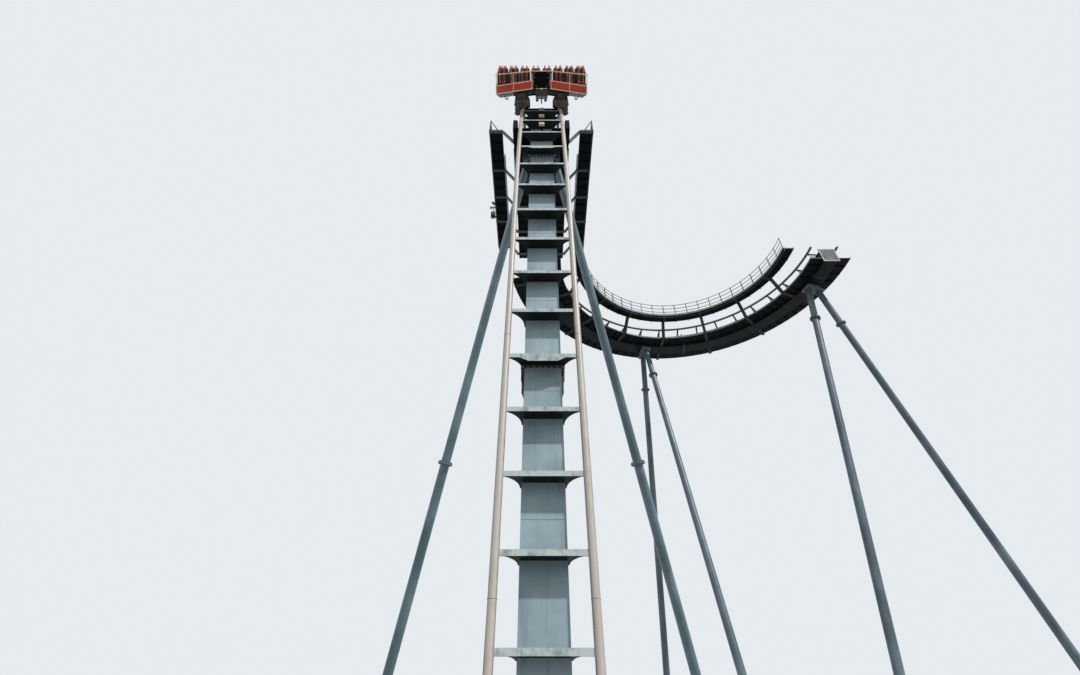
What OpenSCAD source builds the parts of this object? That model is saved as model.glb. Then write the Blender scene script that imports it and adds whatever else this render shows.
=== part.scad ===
// Drop tower of a vertical-drop ride: a steep track on a box girder, its crest with the eight-abreast car
// held at the edge, the level holding track with walkways, and the level half turn behind on raking frames.
// X runs across the track, Y back from the drop, Z up. The origin is the foot of the drop girder.

/* [Track line] */
// Distance between the centre lines of the two rails
gauge = 1800; // [1700:10:1900]
// Outer diameter of a rail tube
rail_d = 165; // [150:1:180]
// Slope of the straight drop, in degrees
drop_slope = 87.5; // [86.5:0.5:88.5]
// Length of the straight drop, from the ground up
drop_len = 15214; // [14000:1:16000]
// Radius of the gentle bend above the straight drop
bend_r = 53200; // [50000:100:56000]
// Angle of the gentle bend, in degrees
bend_angle = 10.5; // [9.5:0.5:11]
// Radius of the crest at the centres of the rails
crest_r = 5000; // [4800:50:5300]
// Length of the level holding track
holding_len = 6450; // [6000:50:7500]
// Radius of the level turn at its centre line
turn_r = 9700; // [9300:100:10500]

/* [Girder] */
// Width of the box girder
girder_w = 920; // [860:10:980]
// Depth of the box girder
girder_d = 1040; // [960:10:1120]
// From the centres of the rails down to the girder
girder_drop = 360; // [320:10:400]
// Thickness of the girder's top and bottom plates
girder_plate = 40; // [25:1:60]
// How far those plates stand out past the girder's sides
girder_lip = 30; // [15:1:50]
// Width of the bolted collar round a girder joint
collar_w = 90; // [60:5:110]
// Thickness of that collar, both plates together
collar_t = 60; // [40:2:80]
// Diameter of the corner bolt holes in the open end of the turn
joint_bolt_d = 34; // [28:1:40]

/* [Cross ties] */
// Distance from one tie of the drop to the next
tie_pitch = 1579; // [1500:1:1650]
// Distance of the lowest tie from the ground
first_tie = 1326; // [1200:1:1450]
// Thickness of a tie's web plate
tie_t = 30; // [20:1:50]
// Width of the flange on a tie's outer edge
tie_flange_w = 120; // [90:5:160]
// Thickness of that flange
tie_flange_t = 24; // [15:1:35]
// Depth that a tie reaches down the girder's sides
tie_grip = 620; // [560:10:700]
// Radius of the hollow edge of a tie
tie_hollow_r = 560; // [520:10:620]
// Running gap between a rail and what saddles it
rail_seat = 0.5; // [0.4:0.1:0.6]

/* [Legs] */
// Outer diameter of the leg tubes
leg_d = 406; // [350:2:460]
// Distance of a raking leg's foot from the track's centre
leg_foot_x = 7000; // [6500:50:7500]
// Distance of a raking leg's foot back from the drop's foot
leg_foot_y = 14920; // [14000:50:15500]
// Height of the bolted joint of a raking leg
leg_joint_z = 11700; // [10500:50:13000]
// Slope of the crest where the legs take hold
saddle_slope = 23; // [21:0.5:25]
// Height of the saddle under the girder
saddle_h = 350; // [300:10:400]
// Length of the saddle along the track
saddle_len = 600; // [500:10:680]
// Distance of a leg's head from the track's centre
leg_head_x = 710; // [680:5:740]
// Spread of the feet of a turn frame, each side of the track
frame_foot_x = 6000; // [5500:50:6500]
// Distance of a turn frame's leg heads from the track's centre
frame_head_x = 420; // [380:5:460]
// Height of the bolted joints of the turn frames
frame_joint_z = 24100; // [23000:50:24500]
// Height of the box on top of a turn frame
head_h = 420; // [350:10:500]
// Side of a foot's ground plate
foot_w = 1000; // [900:10:1150]
// Thickness of the ground plates
foot_t = 60; // [40:2:80]
// Diameter of an anchor hole
anchor_d = 42; // [36:1:48]
// Diameter of the ring of anchor holes in a foot
anchor_ring = 860; // [820:5:900]
// Diameter of a bolted joint's rings
joint_d = 640; // [600:5:680]
// Thickness of one of those rings
joint_t = 40; // [30:1:50]

/* [Walkways] */
// Distance of a walkway's inner edge from the track's centre
walk_in = 2150; // [2120:5:2250]
// Width of a walkway
walk_w = 750; // [650:10:850]
// Depth of a walkway's deck below the centres of the rails
walk_drop = 150; // [100:5:200]
// Thickness of the deck
deck_t = 70; // [50:2:90]
// Width of the edge beam on the track's side
edge_beam_w = 90; // [70:5:100]
// Where the walkways start, back from the drop's foot
walk_start = 3980; // [3950:10:4035]
// Height of the railings above the deck
railing_h = 1050; // [950:10:1150]
// Diameter of a railing's bars
railing_d = 44; // [38:1:48]
// Side of a railing's posts
post_w = 56; // [52:1:70]
// Thickness of the arms under the straight walkways
arm_t = 120; // [100:5:140]
// Thickness of the arms under the turn's walkway
turn_arm_t = 220; // [180:5:240]
// Depth of an arm
arm_h = 140; // [110:5:160]
// Thickness of an arm's flanges
arm_flange_t = 18; // [12:1:24]
// Height of the beam along a walkway's inner edge
chord_h = 210; // [150:10:220]
// Thickness of the service decks beside the girder
tray_t = 40; // [30:2:50]
// Reach of the turn's service decks from the track's centre
tray_out = 1330; // [1250:10:1400]
// Reach of the platform on the outer side of the turn's start
platform_out = 2150; // [2000:10:2250]

/* [Crest fittings] */
// Distance of a crest side plate from the track's centre
guard_x = 1265; // [1255:1:1275]
// Thickness of a crest side plate
guard_t = 185; // [170:5:195]
// Length of a crest side plate
guard_len = 2700; // [2600:10:2760]
// Height of a crest side plate
guard_h = 850; // [800:10:900]
// Side of a position sensor on the track's centre line
sensor_w = 240; // [200:5:260]

/* [Car] */
// Slope of the track under the middle of the car
car_slope = 62; // [58:0.5:64]
// Width of the car
car_w = 4200; // [4150:10:4240]
// Half the distance between the axles, along the track
axle_reach = 800; // [760:10:840]
// Height of the floor at the car's sides, above the rails
floor_side_u = 610; // [595:5:630]
// Height of the floor in the middle
floor_mid_u = 840; // [825:5:855]
// Thickness of the floor
floor_t = 70; // [50:2:80]
// Height of the top rail of the front barrier at the sides
rail_side_u = 1340; // [1310:5:1370]
// Height of that rail in the middle
rail_mid_u = 1486; // [1460:5:1510]
// Height of the front panels
panel_h = 300; // [260:5:330]
// Seats in a row
seat_n = 8; // [6:2:8]
// Distance from one seat to the next
seat_pitch = 527; // [520:1:530]
// Width of a seat
seat_w = 470; // [440:2:490]
// Distance between the two rows of seats
row_pitch = 1350; // [1300:10:1400]
// Height of the front row's seat pans above the rails
seat_base_u = 885; // [880:5:900]
// How much higher the second row is
row_rise = 120; // [80:5:160]
// Diameter of a load wheel
load_wheel_d = 300; // [280:2:310]
// Diameter of a guide wheel
guide_wheel_d = 200; // [180:2:210]
// Diameter of an upstop wheel
upstop_wheel_d = 170; // [160:2:180]

/* [Hidden] */
$fn = 48;
arc_fn = 288;
wheel_gap = 0.5;
seat_gap = 0.3;
weld = 20;
far = 4000;

rail_r = rail_d / 2;
half_gauge = gauge / 2;
half_girder = girder_w / 2;
girder_side = half_girder - girder_lip;
girder_foot = girder_drop + girder_d;
rail_foot_y = -(girder_drop + girder_d / 2) / sin(drop_slope);
drop_top = [rail_foot_y + drop_len * cos(drop_slope), drop_len * sin(drop_slope)];
bend_c = drop_top + bend_r * [sin(drop_slope), -cos(drop_slope)];
crest_slope = drop_slope - bend_angle;
crest_c = bend_c + (bend_r - crest_r) * [-sin(crest_slope), cos(crest_slope)];
rail_z = crest_c[1] + crest_r;
turn_y = crest_c[0] + holding_len;
turn_angle = 180;
turn_split = 101;
bend_len = bend_r * bend_angle * PI / 180;
joint_shift = collar_t / 2 + tie_t / 2 + 5;
splice_ties = [5, 12];
drop_tie_n = floor((drop_len + bend_len - tie_flange_w / 2 - first_tie) / tie_pitch) + 1;
crest_pitch = tie_pitch / crest_r * 180 / PI;
crest_tie_slope = crest_slope - (tie_s(drop_tie_n) - drop_len - bend_len) / crest_r * 180 / PI;
crest_tie_n = floor((crest_tie_slope - 2) / crest_pitch) + 1;
holding_tie_n = round(holding_len / tie_pitch);
turn_tie_n = round(turn_r * PI / tie_pitch);
frame_angles = [82, 165];
walk_out = walk_in + walk_w;
deck_top = -walk_drop;
deck_base = deck_top - deck_t;
post_x = walk_out - post_w;
arm_low = -(girder_foot - girder_plate - arm_h / 2);
guard_out = guard_x + guard_t;
guard_y = [crest_c[0] - guard_len * 1.1, crest_c[0] - guard_len * 0.1];
guard_z = [rail_z - 1820, rail_z - 1820 + guard_h];
tray_base = arm_low + arm_h / 2;
turn_arm_root = girder_side + pow(turn_arm_t, 2) / (8 * (turn_r - half_girder)) + seat_gap;
joint_gap = 0.005;

// Where the tie of number i is, from the ground along the rails
function tie_s(i) = first_tie + i * tie_pitch;
// Slope of the track at a distance s from the ground, on the drop and the gentle bend
function slope_at(s) = drop_slope - max(0, s - drop_len) / bend_r * 180 / PI;
// Distances of the two girder joints on the drop
function joint_s(i) = tie_s(splice_ties[i]) - joint_shift;

// Frames of the track line: X across, Y up the track and back, Z out of the rails' plane

module on_line(s) {
    if (s <= drop_len)
        translate([0, rail_foot_y + s * cos(drop_slope), s * sin(drop_slope)])
            rotate([drop_slope, 0, 0]) children();
    else
        translate([0, bend_c[0], bend_c[1]]) rotate([slope_at(s), 0, 0]) translate([0, 0, bend_r]) children();
}

module on_crest(slope) {
    translate([0, crest_c[0], crest_c[1]]) rotate([slope, 0, 0]) translate([0, 0, crest_r]) children();
}

module on_holding(s) {
    translate([0, crest_c[0] + s, rail_z]) children();
}

module on_turn(angle) {
    translate([turn_r, turn_y, rail_z]) rotate([0, 0, -angle]) translate([-turn_r, 0, 0]) children();
}

// Sweeps of a profile drawn as (across, out of the rails' plane)

module run_drop(s0, s1) {
    on_line(0) translate([0, s1, 0]) rotate([90, 0, 0]) linear_extrude(s1 - s0) children();
}

module run_arc(centre, radius, slope0, slope1) {
    translate([0, centre[0], centre[1]]) rotate([180, -90, 0]) rotate([0, 0, slope0])
        rotate_extrude(angle = slope1 - slope0, $fn = arc_fn)
            translate([radius, 0]) mirror([1, -1, 0]) children();
}

module run_holding(s0, s1) {
    on_holding(s1) rotate([90, 0, 0]) linear_extrude(s1 - s0) children();
}

module run_turn(angle0, angle1) {
    translate([turn_r, turn_y, rail_z]) rotate([0, 0, 180 - angle1])
        rotate_extrude(angle = angle1 - angle0, $fn = arc_fn)
            translate([turn_r, 0]) mirror([1, 0, 0]) children();
}

// A piece at both sides of the track
module both_sides() {
    children();
    mirror([1, 0, 0]) children();
}

// A frame on point a with its Z towards point b and its X level
module along(a, b) {
    v = b - a;
    translate(a) rotate([0, acos(v[2] / norm(v)), atan2(v[1], v[0])]) rotate([0, 0, 90]) children();
}

// Everything below a height
module below(z) {
    translate([-far * 10, -far * 10, z - far]) cube([far * 20, far * 20, far]);
}

// Girder

module girder_profile(grow = 0) {
    edge = half_girder + grow;
    side = girder_side + grow;
    top = -girder_drop + grow;
    base = -girder_foot - grow;
    plate = girder_plate + 2 * grow;
    polygon([
        [-edge, top], [edge, top], [edge, top - plate], [side, top - plate],
        [side, base + plate], [edge, base + plate], [edge, base],
        [-edge, base], [-edge, base + plate], [-side, base + plate],
        [-side, top - plate], [-edge, top - plate]
    ]);
}

module drop_girder_lower() {
    color("#47585a") difference() {
        run_drop(-girder_d, joint_s(0)) girder_profile();
        below(foot_t);
    }
}

module drop_girder_upper() {
    color("#4d5f61") {
        run_drop(joint_s(0), drop_len) girder_profile();
        run_arc(bend_c, bend_r, slope_at(joint_s(1)), drop_slope) girder_profile();
    }
}

module bend_girder() {
    color("#526567") run_arc(bend_c, bend_r, crest_slope, slope_at(joint_s(1))) girder_profile();
}

module crest_girder() {
    color("#566a6c") run_arc(crest_c, crest_r, joint_gap, crest_slope - joint_gap) girder_profile();
}

module holding_girder() {
    color("#384446") run_holding(0, holding_len) girder_profile();
}

module turn_girder_entry() {
    color("#2f393b") run_turn(0, turn_split) girder_profile();
}

module turn_girder_exit() {
    color("#333e40") run_turn(turn_split, turn_angle) girder_profile();
}

// Bolted collar round a joint of the girder, with stiffening fins on its lower side
module collar(fins = true) {
    fin_w = 150;
    fin_t = 26;
    fin_len = 600;
    translate([0, collar_t / 2, 0]) rotate([90, 0, 0]) linear_extrude(collar_t) difference() {
        translate([-half_girder - collar_w, -girder_foot - collar_w])
            square([girder_w + 2 * collar_w, girder_d + 2 * collar_w]);
        translate([-half_girder - seat_gap, -girder_foot - seat_gap])
            square([girder_w + 2 * seat_gap, girder_d + 2 * seat_gap]);
    }
    if (fins) both_sides() for (u = [0.25, 0.75])
        translate([girder_side, -collar_t / 2, -girder_drop - girder_d * u - fin_t / 2])
            linear_extrude(fin_t) polygon([
                [0, 0], [girder_lip + collar_w, 0], [girder_lip + collar_w, -fin_len / 3],
                [0, -fin_len]
            ]);
}

module girder_collars() {
    color("#2b3436") {
        for (i = [0, 1]) on_line(joint_s(i)) collar();
        on_holding(0) collar(false);
        on_holding(holding_len) collar(false);
        on_turn(turn_split) collar(false);
        on_turn(turn_angle) translate([0, -collar_t / 2, 0]) difference() {
            collar(false);
            both_sides() for (u = [-girder_drop + collar_w / 2, -girder_foot - collar_w / 2])
                translate([half_girder + collar_w / 2, 0, u]) rotate([90, 0, 0])
                    cylinder(d = joint_bolt_d, h = far, center = true);
        }
    }
}

// Rails

module rail_profile() {
    for (x = [-half_gauge, half_gauge]) translate([x, 0]) circle(d = rail_d);
}

module drop_rails() {
    color("#a9a49b") difference() {
        union() {
            run_drop(-girder_d, drop_len) rail_profile();
            run_arc(bend_c, bend_r, crest_slope, drop_slope) rail_profile();
        }
        below(foot_t);
    }
}

module crest_rails() {
    color("#b3aea4") run_arc(crest_c, crest_r, joint_gap, crest_slope - joint_gap) rail_profile();
}

module holding_rails() {
    color("#a9a49b") run_holding(0, holding_len) rail_profile();
}

module turn_rails() {
    color("#4a4f50") run_turn(0, turn_angle) rail_profile();
}

// Cross ties: a winged web that saddles the girder and the rails' inner sides, and a pale outer flange

module tie_web() {
    tip = [half_gauge - rail_r, -rail_r];
    heel = [half_girder + 40, -tie_grip];
    chord = heel - tip;
    reach = sqrt(pow(tie_hollow_r, 2) - pow(norm(chord) / 2, 2));
    hollow = (tip + heel) / 2 + reach * [-chord[1], chord[0]] / norm(chord);
    difference() {
        polygon([
            [-half_gauge, 0], [half_gauge, 0], [half_gauge, -rail_r / 2], tip, heel,
            [-heel[0], heel[1]], [-tip[0], tip[1]], [-half_gauge, -rail_r / 2]
        ]);
        both_sides() translate([half_gauge, 0]) circle(r = rail_r + rail_seat);
        both_sides() translate(hollow) circle(r = tie_hollow_r, $fn = 96);
        girder_profile(seat_gap);
    }
}

module tie_flange(bow = 0) {
    edge = half_gauge;
    difference() {
        rotate([90, 0, 0]) translate([0, 0, -tie_flange_w / 2]) linear_extrude(tie_flange_w)
            translate([-edge, 0]) square([2 * edge, tie_flange_t]);
        both_sides() translate([half_gauge, 0, 0]) rotate([90, 0, 0])
            cylinder(r = rail_r + rail_seat, h = far, center = true);
    }
    if (bow > 0) translate([0, 0, tie_flange_t - tie_t]) linear_extrude(tie_t) polygon([
        [-half_gauge + 2 * rail_d, -tie_flange_w / 2], [half_gauge - 2 * rail_d, -tie_flange_w / 2],
        [half_girder - 100, -tie_flange_w / 2 - bow], [100 - half_girder, -tie_flange_w / 2 - bow]
    ]);
}

module tie(bow = 0) {
    translate([0, tie_t / 2, 0]) rotate([90, 0, 0]) linear_extrude(tie_t) tie_web();
    tie_flange(bow);
}

module drop_ties() {
    color("#6f7c7d") for (i = [0:drop_tie_n - 1])
        on_line(tie_s(i)) tie(i == splice_ties[0] || i == splice_ties[1] ? 110 : 0);
}

module crest_ties() {
    color("#6f7c7d") for (i = [0:crest_tie_n - 1]) on_crest(crest_tie_slope - i * crest_pitch) tie();
}

module holding_ties() {
    color("#5d696a") for (i = [0:holding_tie_n - 1])
        on_holding((i + 0.5) * holding_len / holding_tie_n) tie();
}

module turn_ties() {
    color("#4a5556") for (i = [0:turn_tie_n - 1])
        on_turn((i + 0.5) * turn_angle / turn_tie_n) tie();
}

// Feet and legs

module anchor_holes(ring) {
    for (i = [0:7]) rotate([0, 0, 22.5 + 45 * i]) translate([ring / 2, 0, -1])
        cylinder(d = anchor_d, h = foot_t + 2);
}

// Ground plate of a leg, with upright gussets that meet the tube
module foot() {
    gusset_t = 30;
    gusset_h = 420;
    difference() {
        translate([-foot_w / 2, -foot_w / 2, 0]) cube([foot_w, foot_w, foot_t]);
        anchor_holes(anchor_ring);
    }
    for (a = [0, 90, 180, 270]) rotate([0, 0, a]) translate([0, gusset_t / 2, foot_t]) rotate([90, 0, 0])
        linear_extrude(gusset_t)
            polygon([[0, 0], [foot_w / 2 - weld, 0], [foot_w / 2 - weld, weld], [leg_d / 2, gusset_h],
                [0, gusset_h]]);
}

// Two rings of a bolted joint, or the one above or below it, on the axis of a tube
module joint_ring(at, below_joint) {
    translate([0, 0, at - (below_joint ? joint_t : 0)]) cylinder(d = joint_d, h = joint_t);
}

module drop_foot_plate() {
    front = rail_foot_y - 200;
    back = girder_d / 2 + 200;
    hole_x = half_gauge + 200;
    color("#3a4243") difference() {
        translate([-half_gauge - 300, front, 0]) cube([gauge + 600, back - front, foot_t]);
        for (x = [-hole_x, hole_x], y = [front + 100, back - 100])
            translate([x, y, -1]) cylinder(d = anchor_d, h = foot_t + 2);
    }
}

leg_head_u = -(girder_foot + saddle_h);
leg_head = [
    leg_head_x,
    crest_c[0] - (crest_r + leg_head_u) * sin(saddle_slope),
    crest_c[1] + (crest_r + leg_head_u) * cos(saddle_slope)
];
leg_foot = [leg_foot_x, leg_foot_y, 0];
leg_len = norm(leg_head - leg_foot);
leg_joint = leg_len * leg_joint_z / leg_head[2];

module leg_saddle() {
    half_w = leg_head_x + leg_d * 0.75;
    color("#3a4647") difference() {
        on_crest(saddle_slope) translate([-half_w, -saddle_len / 2, leg_head_u])
            cube([2 * half_w, saddle_len, saddle_h + 250]);
        translate([0, crest_c[0], crest_c[1]]) rotate([0, 90, 0]) difference() {
            cylinder(r = crest_r, h = girder_w, center = true, $fn = arc_fn);
            cylinder(r = crest_r - girder_foot - seat_gap, h = far, center = true, $fn = arc_fn);
        }
    }
}

module leg_upper() {
    difference() {
        along(leg_foot, leg_head) {
            translate([0, 0, leg_joint]) cylinder(d = leg_d, h = leg_len - leg_joint + leg_d);
            joint_ring(leg_joint, false);
        }
        on_crest(saddle_slope) translate([0, -far / 2, leg_head_u]) cube([far / 2, far, far / 2]);
    }
}

module leg_lower() {
    difference() {
        along(leg_foot, leg_head) {
            translate([0, 0, -leg_d]) cylinder(d = leg_d, h = leg_joint + leg_d);
            joint_ring(leg_joint, true);
        }
        below(foot_t);
    }
    translate(leg_foot) foot();
}

module right_leg_upper() {
    color("#4c5c5e") leg_upper();
}

module right_leg_lower() {
    color("#435254") leg_lower();
}

module left_leg_upper() {
    color("#4c5c5e") mirror([1, 0, 0]) leg_upper();
}

module left_leg_lower() {
    color("#435254") mirror([1, 0, 0]) leg_lower();
}

// Leg of a turn frame, towards the turn's centre for side 1 and away from it for side -1
module frame_leg(side) {
    head = [side * frame_head_x, 0, -girder_foot - head_h];
    toe = [side * frame_foot_x, 0, -rail_z];
    reach = norm(head - toe);
    at = reach * frame_joint_z / (head[2] - toe[2]);
    difference() {
        along(toe, head) {
            translate([0, 0, -leg_d]) cylinder(d = leg_d, h = reach + 2 * leg_d);
            translate([0, 0, at - joint_t]) cylinder(d = joint_d, h = 2 * joint_t);
        }
        translate([-far * 2, -far, -rail_z + foot_t - far]) cube([far * 4, far * 2, far]);
        translate([-far, -far / 2, head[2]]) cube([far * 2, far, far / 2]);
    }
    translate(toe) foot();
}

module near_frame_inner_leg() {
    color("#43504f") on_turn(frame_angles[0]) frame_leg(1);
}

module near_frame_outer_leg() {
    color("#43504f") on_turn(frame_angles[0]) frame_leg(-1);
}

module far_frame_inner_leg() {
    color("#43504f") on_turn(frame_angles[1]) frame_leg(1);
}

module far_frame_outer_leg() {
    color("#43504f") on_turn(frame_angles[1]) frame_leg(-1);
}

module turn_frame_heads() {
    half_w = frame_head_x + leg_d * 0.75;
    color("#8b9495") for (a = frame_angles) on_turn(a) {
        translate([-half_w, -leg_d * 0.75, -girder_foot - head_h]) cube([2 * half_w, leg_d * 1.5, head_h / 4]);
        translate([-half_girder, -leg_d * 0.6, -girder_foot - head_h * 3 / 4])
            cube([girder_w, leg_d * 1.2, head_h * 3 / 4]);
    }
}

// Walkways, their arms and railings

module walkway() {
    run = turn_y - walk_start - seat_gap;
    chord_start = 1520;
    translate([walk_in, walk_start, rail_z + deck_base]) cube([walk_w, run, deck_t]);
    translate([walk_in - edge_beam_w, walk_start + chord_start, rail_z + deck_base])
        cube([edge_beam_w, run - chord_start, chord_h]);
    for (x = [walk_in, walk_out - 12]) translate([x, walk_start, rail_z + deck_top]) cube([12, run, 100]);
}

module right_walkway() {
    color("#1f2526") walkway();
}

module left_walkway() {
    color("#1f2526") mirror([1, 0, 0]) walkway();
}

// Profile of a kinked arm from x_from out to under the deck, or what lies between its flanges
module arm_profile(x_from, inset = 0) {
    top = arm_low + arm_h / 2 - inset;
    base = arm_low - arm_h / 2 + inset;
    high = deck_base - seat_gap - inset;
    low = deck_base - arm_h * 0.8 + inset;
    end = walk_out + inset;
    start = x_from - inset;
    polygon([
        [start, top], [guard_out + 40, top], [walk_in - 60, high], [end, high],
        [end, low], [walk_in, low], [guard_out + 110, base], [start, base]
    ]);
}

// Profile of a straight arm on the outer side of the turn
module outer_arm_profile(reach, inset = 0) {
    translate([-reach - inset, arm_low - arm_h / 2 + inset])
        square([reach - girder_side + 2 * inset, arm_h - 2 * inset]);
}

// A web and two flanges as wide as t: children are the whole profile and what lies between the flanges
module flanged(t) {
    web_t = arm_flange_t;
    translate([0, t / 2, 0]) rotate([90, 0, 0]) linear_extrude(t) difference() {
        children(0);
        children(1);
    }
    translate([0, web_t / 2, 0]) rotate([90, 0, 0]) linear_extrude(web_t) children(0);
}

module arm(t, x_from) {
    flanged(t) {
        arm_profile(x_from);
        arm_profile(x_from, arm_flange_t);
    }
}

module outer_arm(t, reach) {
    flanged(t) {
        outer_arm_profile(reach);
        outer_arm_profile(reach, arm_flange_t);
    }
}

module walkway_arms() {
    span = (holding_len - 900) / 3;
    color("#4f5a5b") both_sides() {
        translate([0, walk_start + arm_t / 2, rail_z]) arm(arm_t, guard_out + seat_gap);
        for (i = [0:3]) on_holding(450 + i * span) arm(arm_t, girder_side);
    }
}

module turn_walkway() {
    color("#1c2223") run_turn(0, turn_angle) {
        translate([walk_in, deck_base]) square([walk_w, deck_t]);
        translate([walk_out - 12, deck_top - weld]) square([12, 100 + weld]);
        translate([walk_in, deck_top - weld]) square([12, 100 + weld]);
    }
}

module turn_walkway_arms() {
    color("#4f5a5b") {
        for (i = [1:7]) on_turn(22.5 * i) arm(turn_arm_t, turn_arm_root);
        for (a = [12, 28]) on_turn(a) outer_arm(turn_arm_t, platform_out - 20);
        for (i = [2:7]) on_turn(22.5 * i) outer_arm(turn_arm_t, tray_out - 20);
    }
}

// Service decks: plates with an upstand, beside the girder and under the rails, on the arms

module deck_strip(x0, x1) {
    lip = 14;
    translate([x0, tray_base + seat_gap]) square([x1 - x0, tray_t]);
    for (x = [x0, x1 - lip]) translate([x, tray_base + seat_gap]) square([lip, tray_t + 90]);
}

module service_decks() {
    start = crest_c[0] - 2660;
    inner = half_girder + 1;
    color("#1b2122") both_sides() difference() {
        union() {
            on_holding(guard_y[1] + 10 - crest_c[0]) rotate([90, 0, 0])
                linear_extrude(guard_y[1] + 10 - start) deck_strip(inner, guard_x - 10);
            on_holding(holding_len) rotate([90, 0, 0])
                linear_extrude(turn_y - guard_y[1] - 10) deck_strip(inner, guard_out);
        }
        for (s = [0, holding_len]) on_holding(s) translate([0, -collar_t, -girder_foot])
            cube([half_girder + collar_w + 10, 2 * collar_t, girder_d]);
    }
}

module turn_service_decks() {
    inner = half_girder + 1;
    first = 9;
    last = 30;
    color("#191e1f") difference() {
        union() {
            run_turn(0.1, turn_angle) deck_strip(inner, tray_out);
            run_turn(first, last) mirror([1, 0, 0]) deck_strip(inner, platform_out);
            run_turn(last + joint_gap, turn_angle) mirror([1, 0, 0]) deck_strip(inner, tray_out);
        }
        for (a = [0, turn_split, turn_angle]) on_turn(a)
            translate([-half_girder - collar_w - 10, -collar_t, -girder_foot])
                cube([girder_w + 2 * collar_w + 20, 2 * collar_t, girder_d]);
    }
}

// Drive of the holding track on the left service deck: two motors with their gearboxes, and air tanks
module holding_drive() {
    base = tray_base + seat_gap + tray_t + seat_gap;
    motor_d = 340;
    box = [360, 420, 430];
    x = -(guard_out + half_girder) / 2 - 90;
    color("#15191a") {
        for (s = [holding_len - 900, holding_len - 2500]) on_holding(s) translate([x, 0, base]) {
            translate([-box[0] / 2, -box[1] / 2, 0]) cube(box);
            translate([0, box[1] / 2 - 1, box[2] / 2 + 10]) rotate([-90, 0, 0]) cylinder(d = motor_d, h = 520);
            translate([-110, box[1] / 2 + 80, 0]) cube([220, 340, 100]);
            translate([-60, -box[1] / 2 - 160, 200]) cube([120, 180, 120]);
        }
        on_holding(holding_len - 3600) for (k = [-1, 1]) translate([x + k * 150, 0, base + 150]) {
            rotate([90, 0, 0]) cylinder(d = 260, h = 900, center = true);
            for (y = [-300, 300]) translate([-50, y - 30, -150]) cube([100, 60, 120]);
        }
    }
}

// Mast with a cabinet and a round head on a bracket outside the left railing
module service_mast() {
    at = holding_len - 2600;
    out = walk_out + seat_gap;
    color("#22292b") mirror([1, 0, 0]) on_holding(at) {
        translate([out, -40, deck_base]) cube([330, 80, deck_t]);
        translate([out + 60, -170, deck_top]) cube([260, 340, 300]);
        translate([out + 200, 0, deck_top + 290]) cylinder(d = 60, h = 1150);
        translate([out + 200, 0, deck_top + 1400]) rotate([0, 55, 0]) cylinder(d = 170, h = 260, center = true);
        translate([out + 40, -30, deck_top + 900]) cube([320, 60, 60]);
        translate([out + 330, -70, deck_top + 860]) cube([90, 140, 140]);
    }
}

// Bars of a railing at thirds of its height, in a profile of (across, up)
module railing_bars() {
    for (k = [1:3]) translate([post_x + post_w / 2 - 14, deck_top + railing_h * k / 3 - railing_d / 2])
        circle(d = railing_d);
}

module railing_post() {
    translate([post_x - 14, -post_w / 2, deck_top]) cube([post_w, post_w, railing_h + 4]);
}

module straight_railing() {
    run = turn_y - walk_start;
    n = round(run / 1030);
    step = (run - post_w) / n;
    translate([0, walk_start + run, rail_z]) rotate([90, 0, 0]) linear_extrude(run) railing_bars();
    for (i = [0:n]) translate([0, walk_start + post_w / 2 + i * step, rail_z]) railing_post();
    translate([0, walk_start + 2, rail_z]) translate([0, railing_d, 0]) rotate([90, 0, 0])
        linear_extrude(railing_d) polygon([
            [walk_in + 230, deck_top], [walk_in + 290, deck_top], [post_x, deck_top + railing_h - 60],
            [post_x, deck_top + railing_h]
        ]);
}

module right_railing() {
    color("#5a6567") straight_railing();
}

module left_railing() {
    color("#5a6567") mirror([1, 0, 0]) straight_railing();
}

module turn_railing() {
    n = 24;
    edge = post_w / (turn_r - post_x) * 90 / PI;
    color("#39454c") {
        run_turn(0.1, turn_angle) railing_bars();
        for (i = [0:n]) on_turn(edge + 0.1 + i * (turn_angle - 2 * edge - 0.1) / n) railing_post();
    }
}

// Crest side plates with the cross bars that hold them to the girder
module crest_side_plates() {
    bar = 120;
    front = [crest_c[0] - guard_len * 0.87, guard_z[0] + 300];
    rear = [crest_c[0] - guard_len * 0.2, rail_z + tray_base - bar / 2];
    color("#171c1d") both_sides() {
        translate([guard_x, guard_y[0], guard_z[0]])
            cube([guard_t, guard_y[1] - guard_y[0], guard_z[1] - guard_z[0]]);
        for (p = [front, rear]) translate([girder_side, p[0] - bar / 2, p[1] - bar / 2])
            cube([guard_x - girder_side, bar, bar]);
    }
}

module track_sensor() {
    stem = 90;
    translate([-sensor_w / 2, -sensor_w / 2, -60]) cube([sensor_w, sensor_w, 100]);
    translate([-stem / 2, -stem / 2, -girder_drop]) cube([stem, stem, girder_drop - 60]);
}

module track_sensors() {
    color("#cdbf9a") {
        on_line(tie_s(drop_tie_n - 1) - tie_pitch * 0.3) track_sensor();
        on_line(tie_s(drop_tie_n - 1) + tie_pitch * 0.5) track_sensor();
    }
    color("#c39a68") on_crest(crest_tie_slope - crest_pitch * 0.35) track_sensor();
}

// Car, in its own frame on the crest: Y back along the track, Z away from it

car_front = -1250;
car_back = 1300;
half_car = car_w / 2;
end_t = 30;
panel_t = 30;
axle_angle = asin(axle_reach / crest_r);
tandem_angle = 1.8;
centre_w = 400;
load_u = rail_r + wheel_gap + load_wheel_d / 2;
guide_x = half_gauge + rail_r + wheel_gap + guide_wheel_d / 2;
upstop_u = -(rail_r + wheel_gap + upstop_wheel_d / 2);
carrier_in = guide_x + guide_wheel_d / 2 + 12;
carrier_t = 40;
carrier_top = load_u + load_wheel_d / 2 + 30;
carrier_lid = 60;
keel_low = 500;

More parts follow.
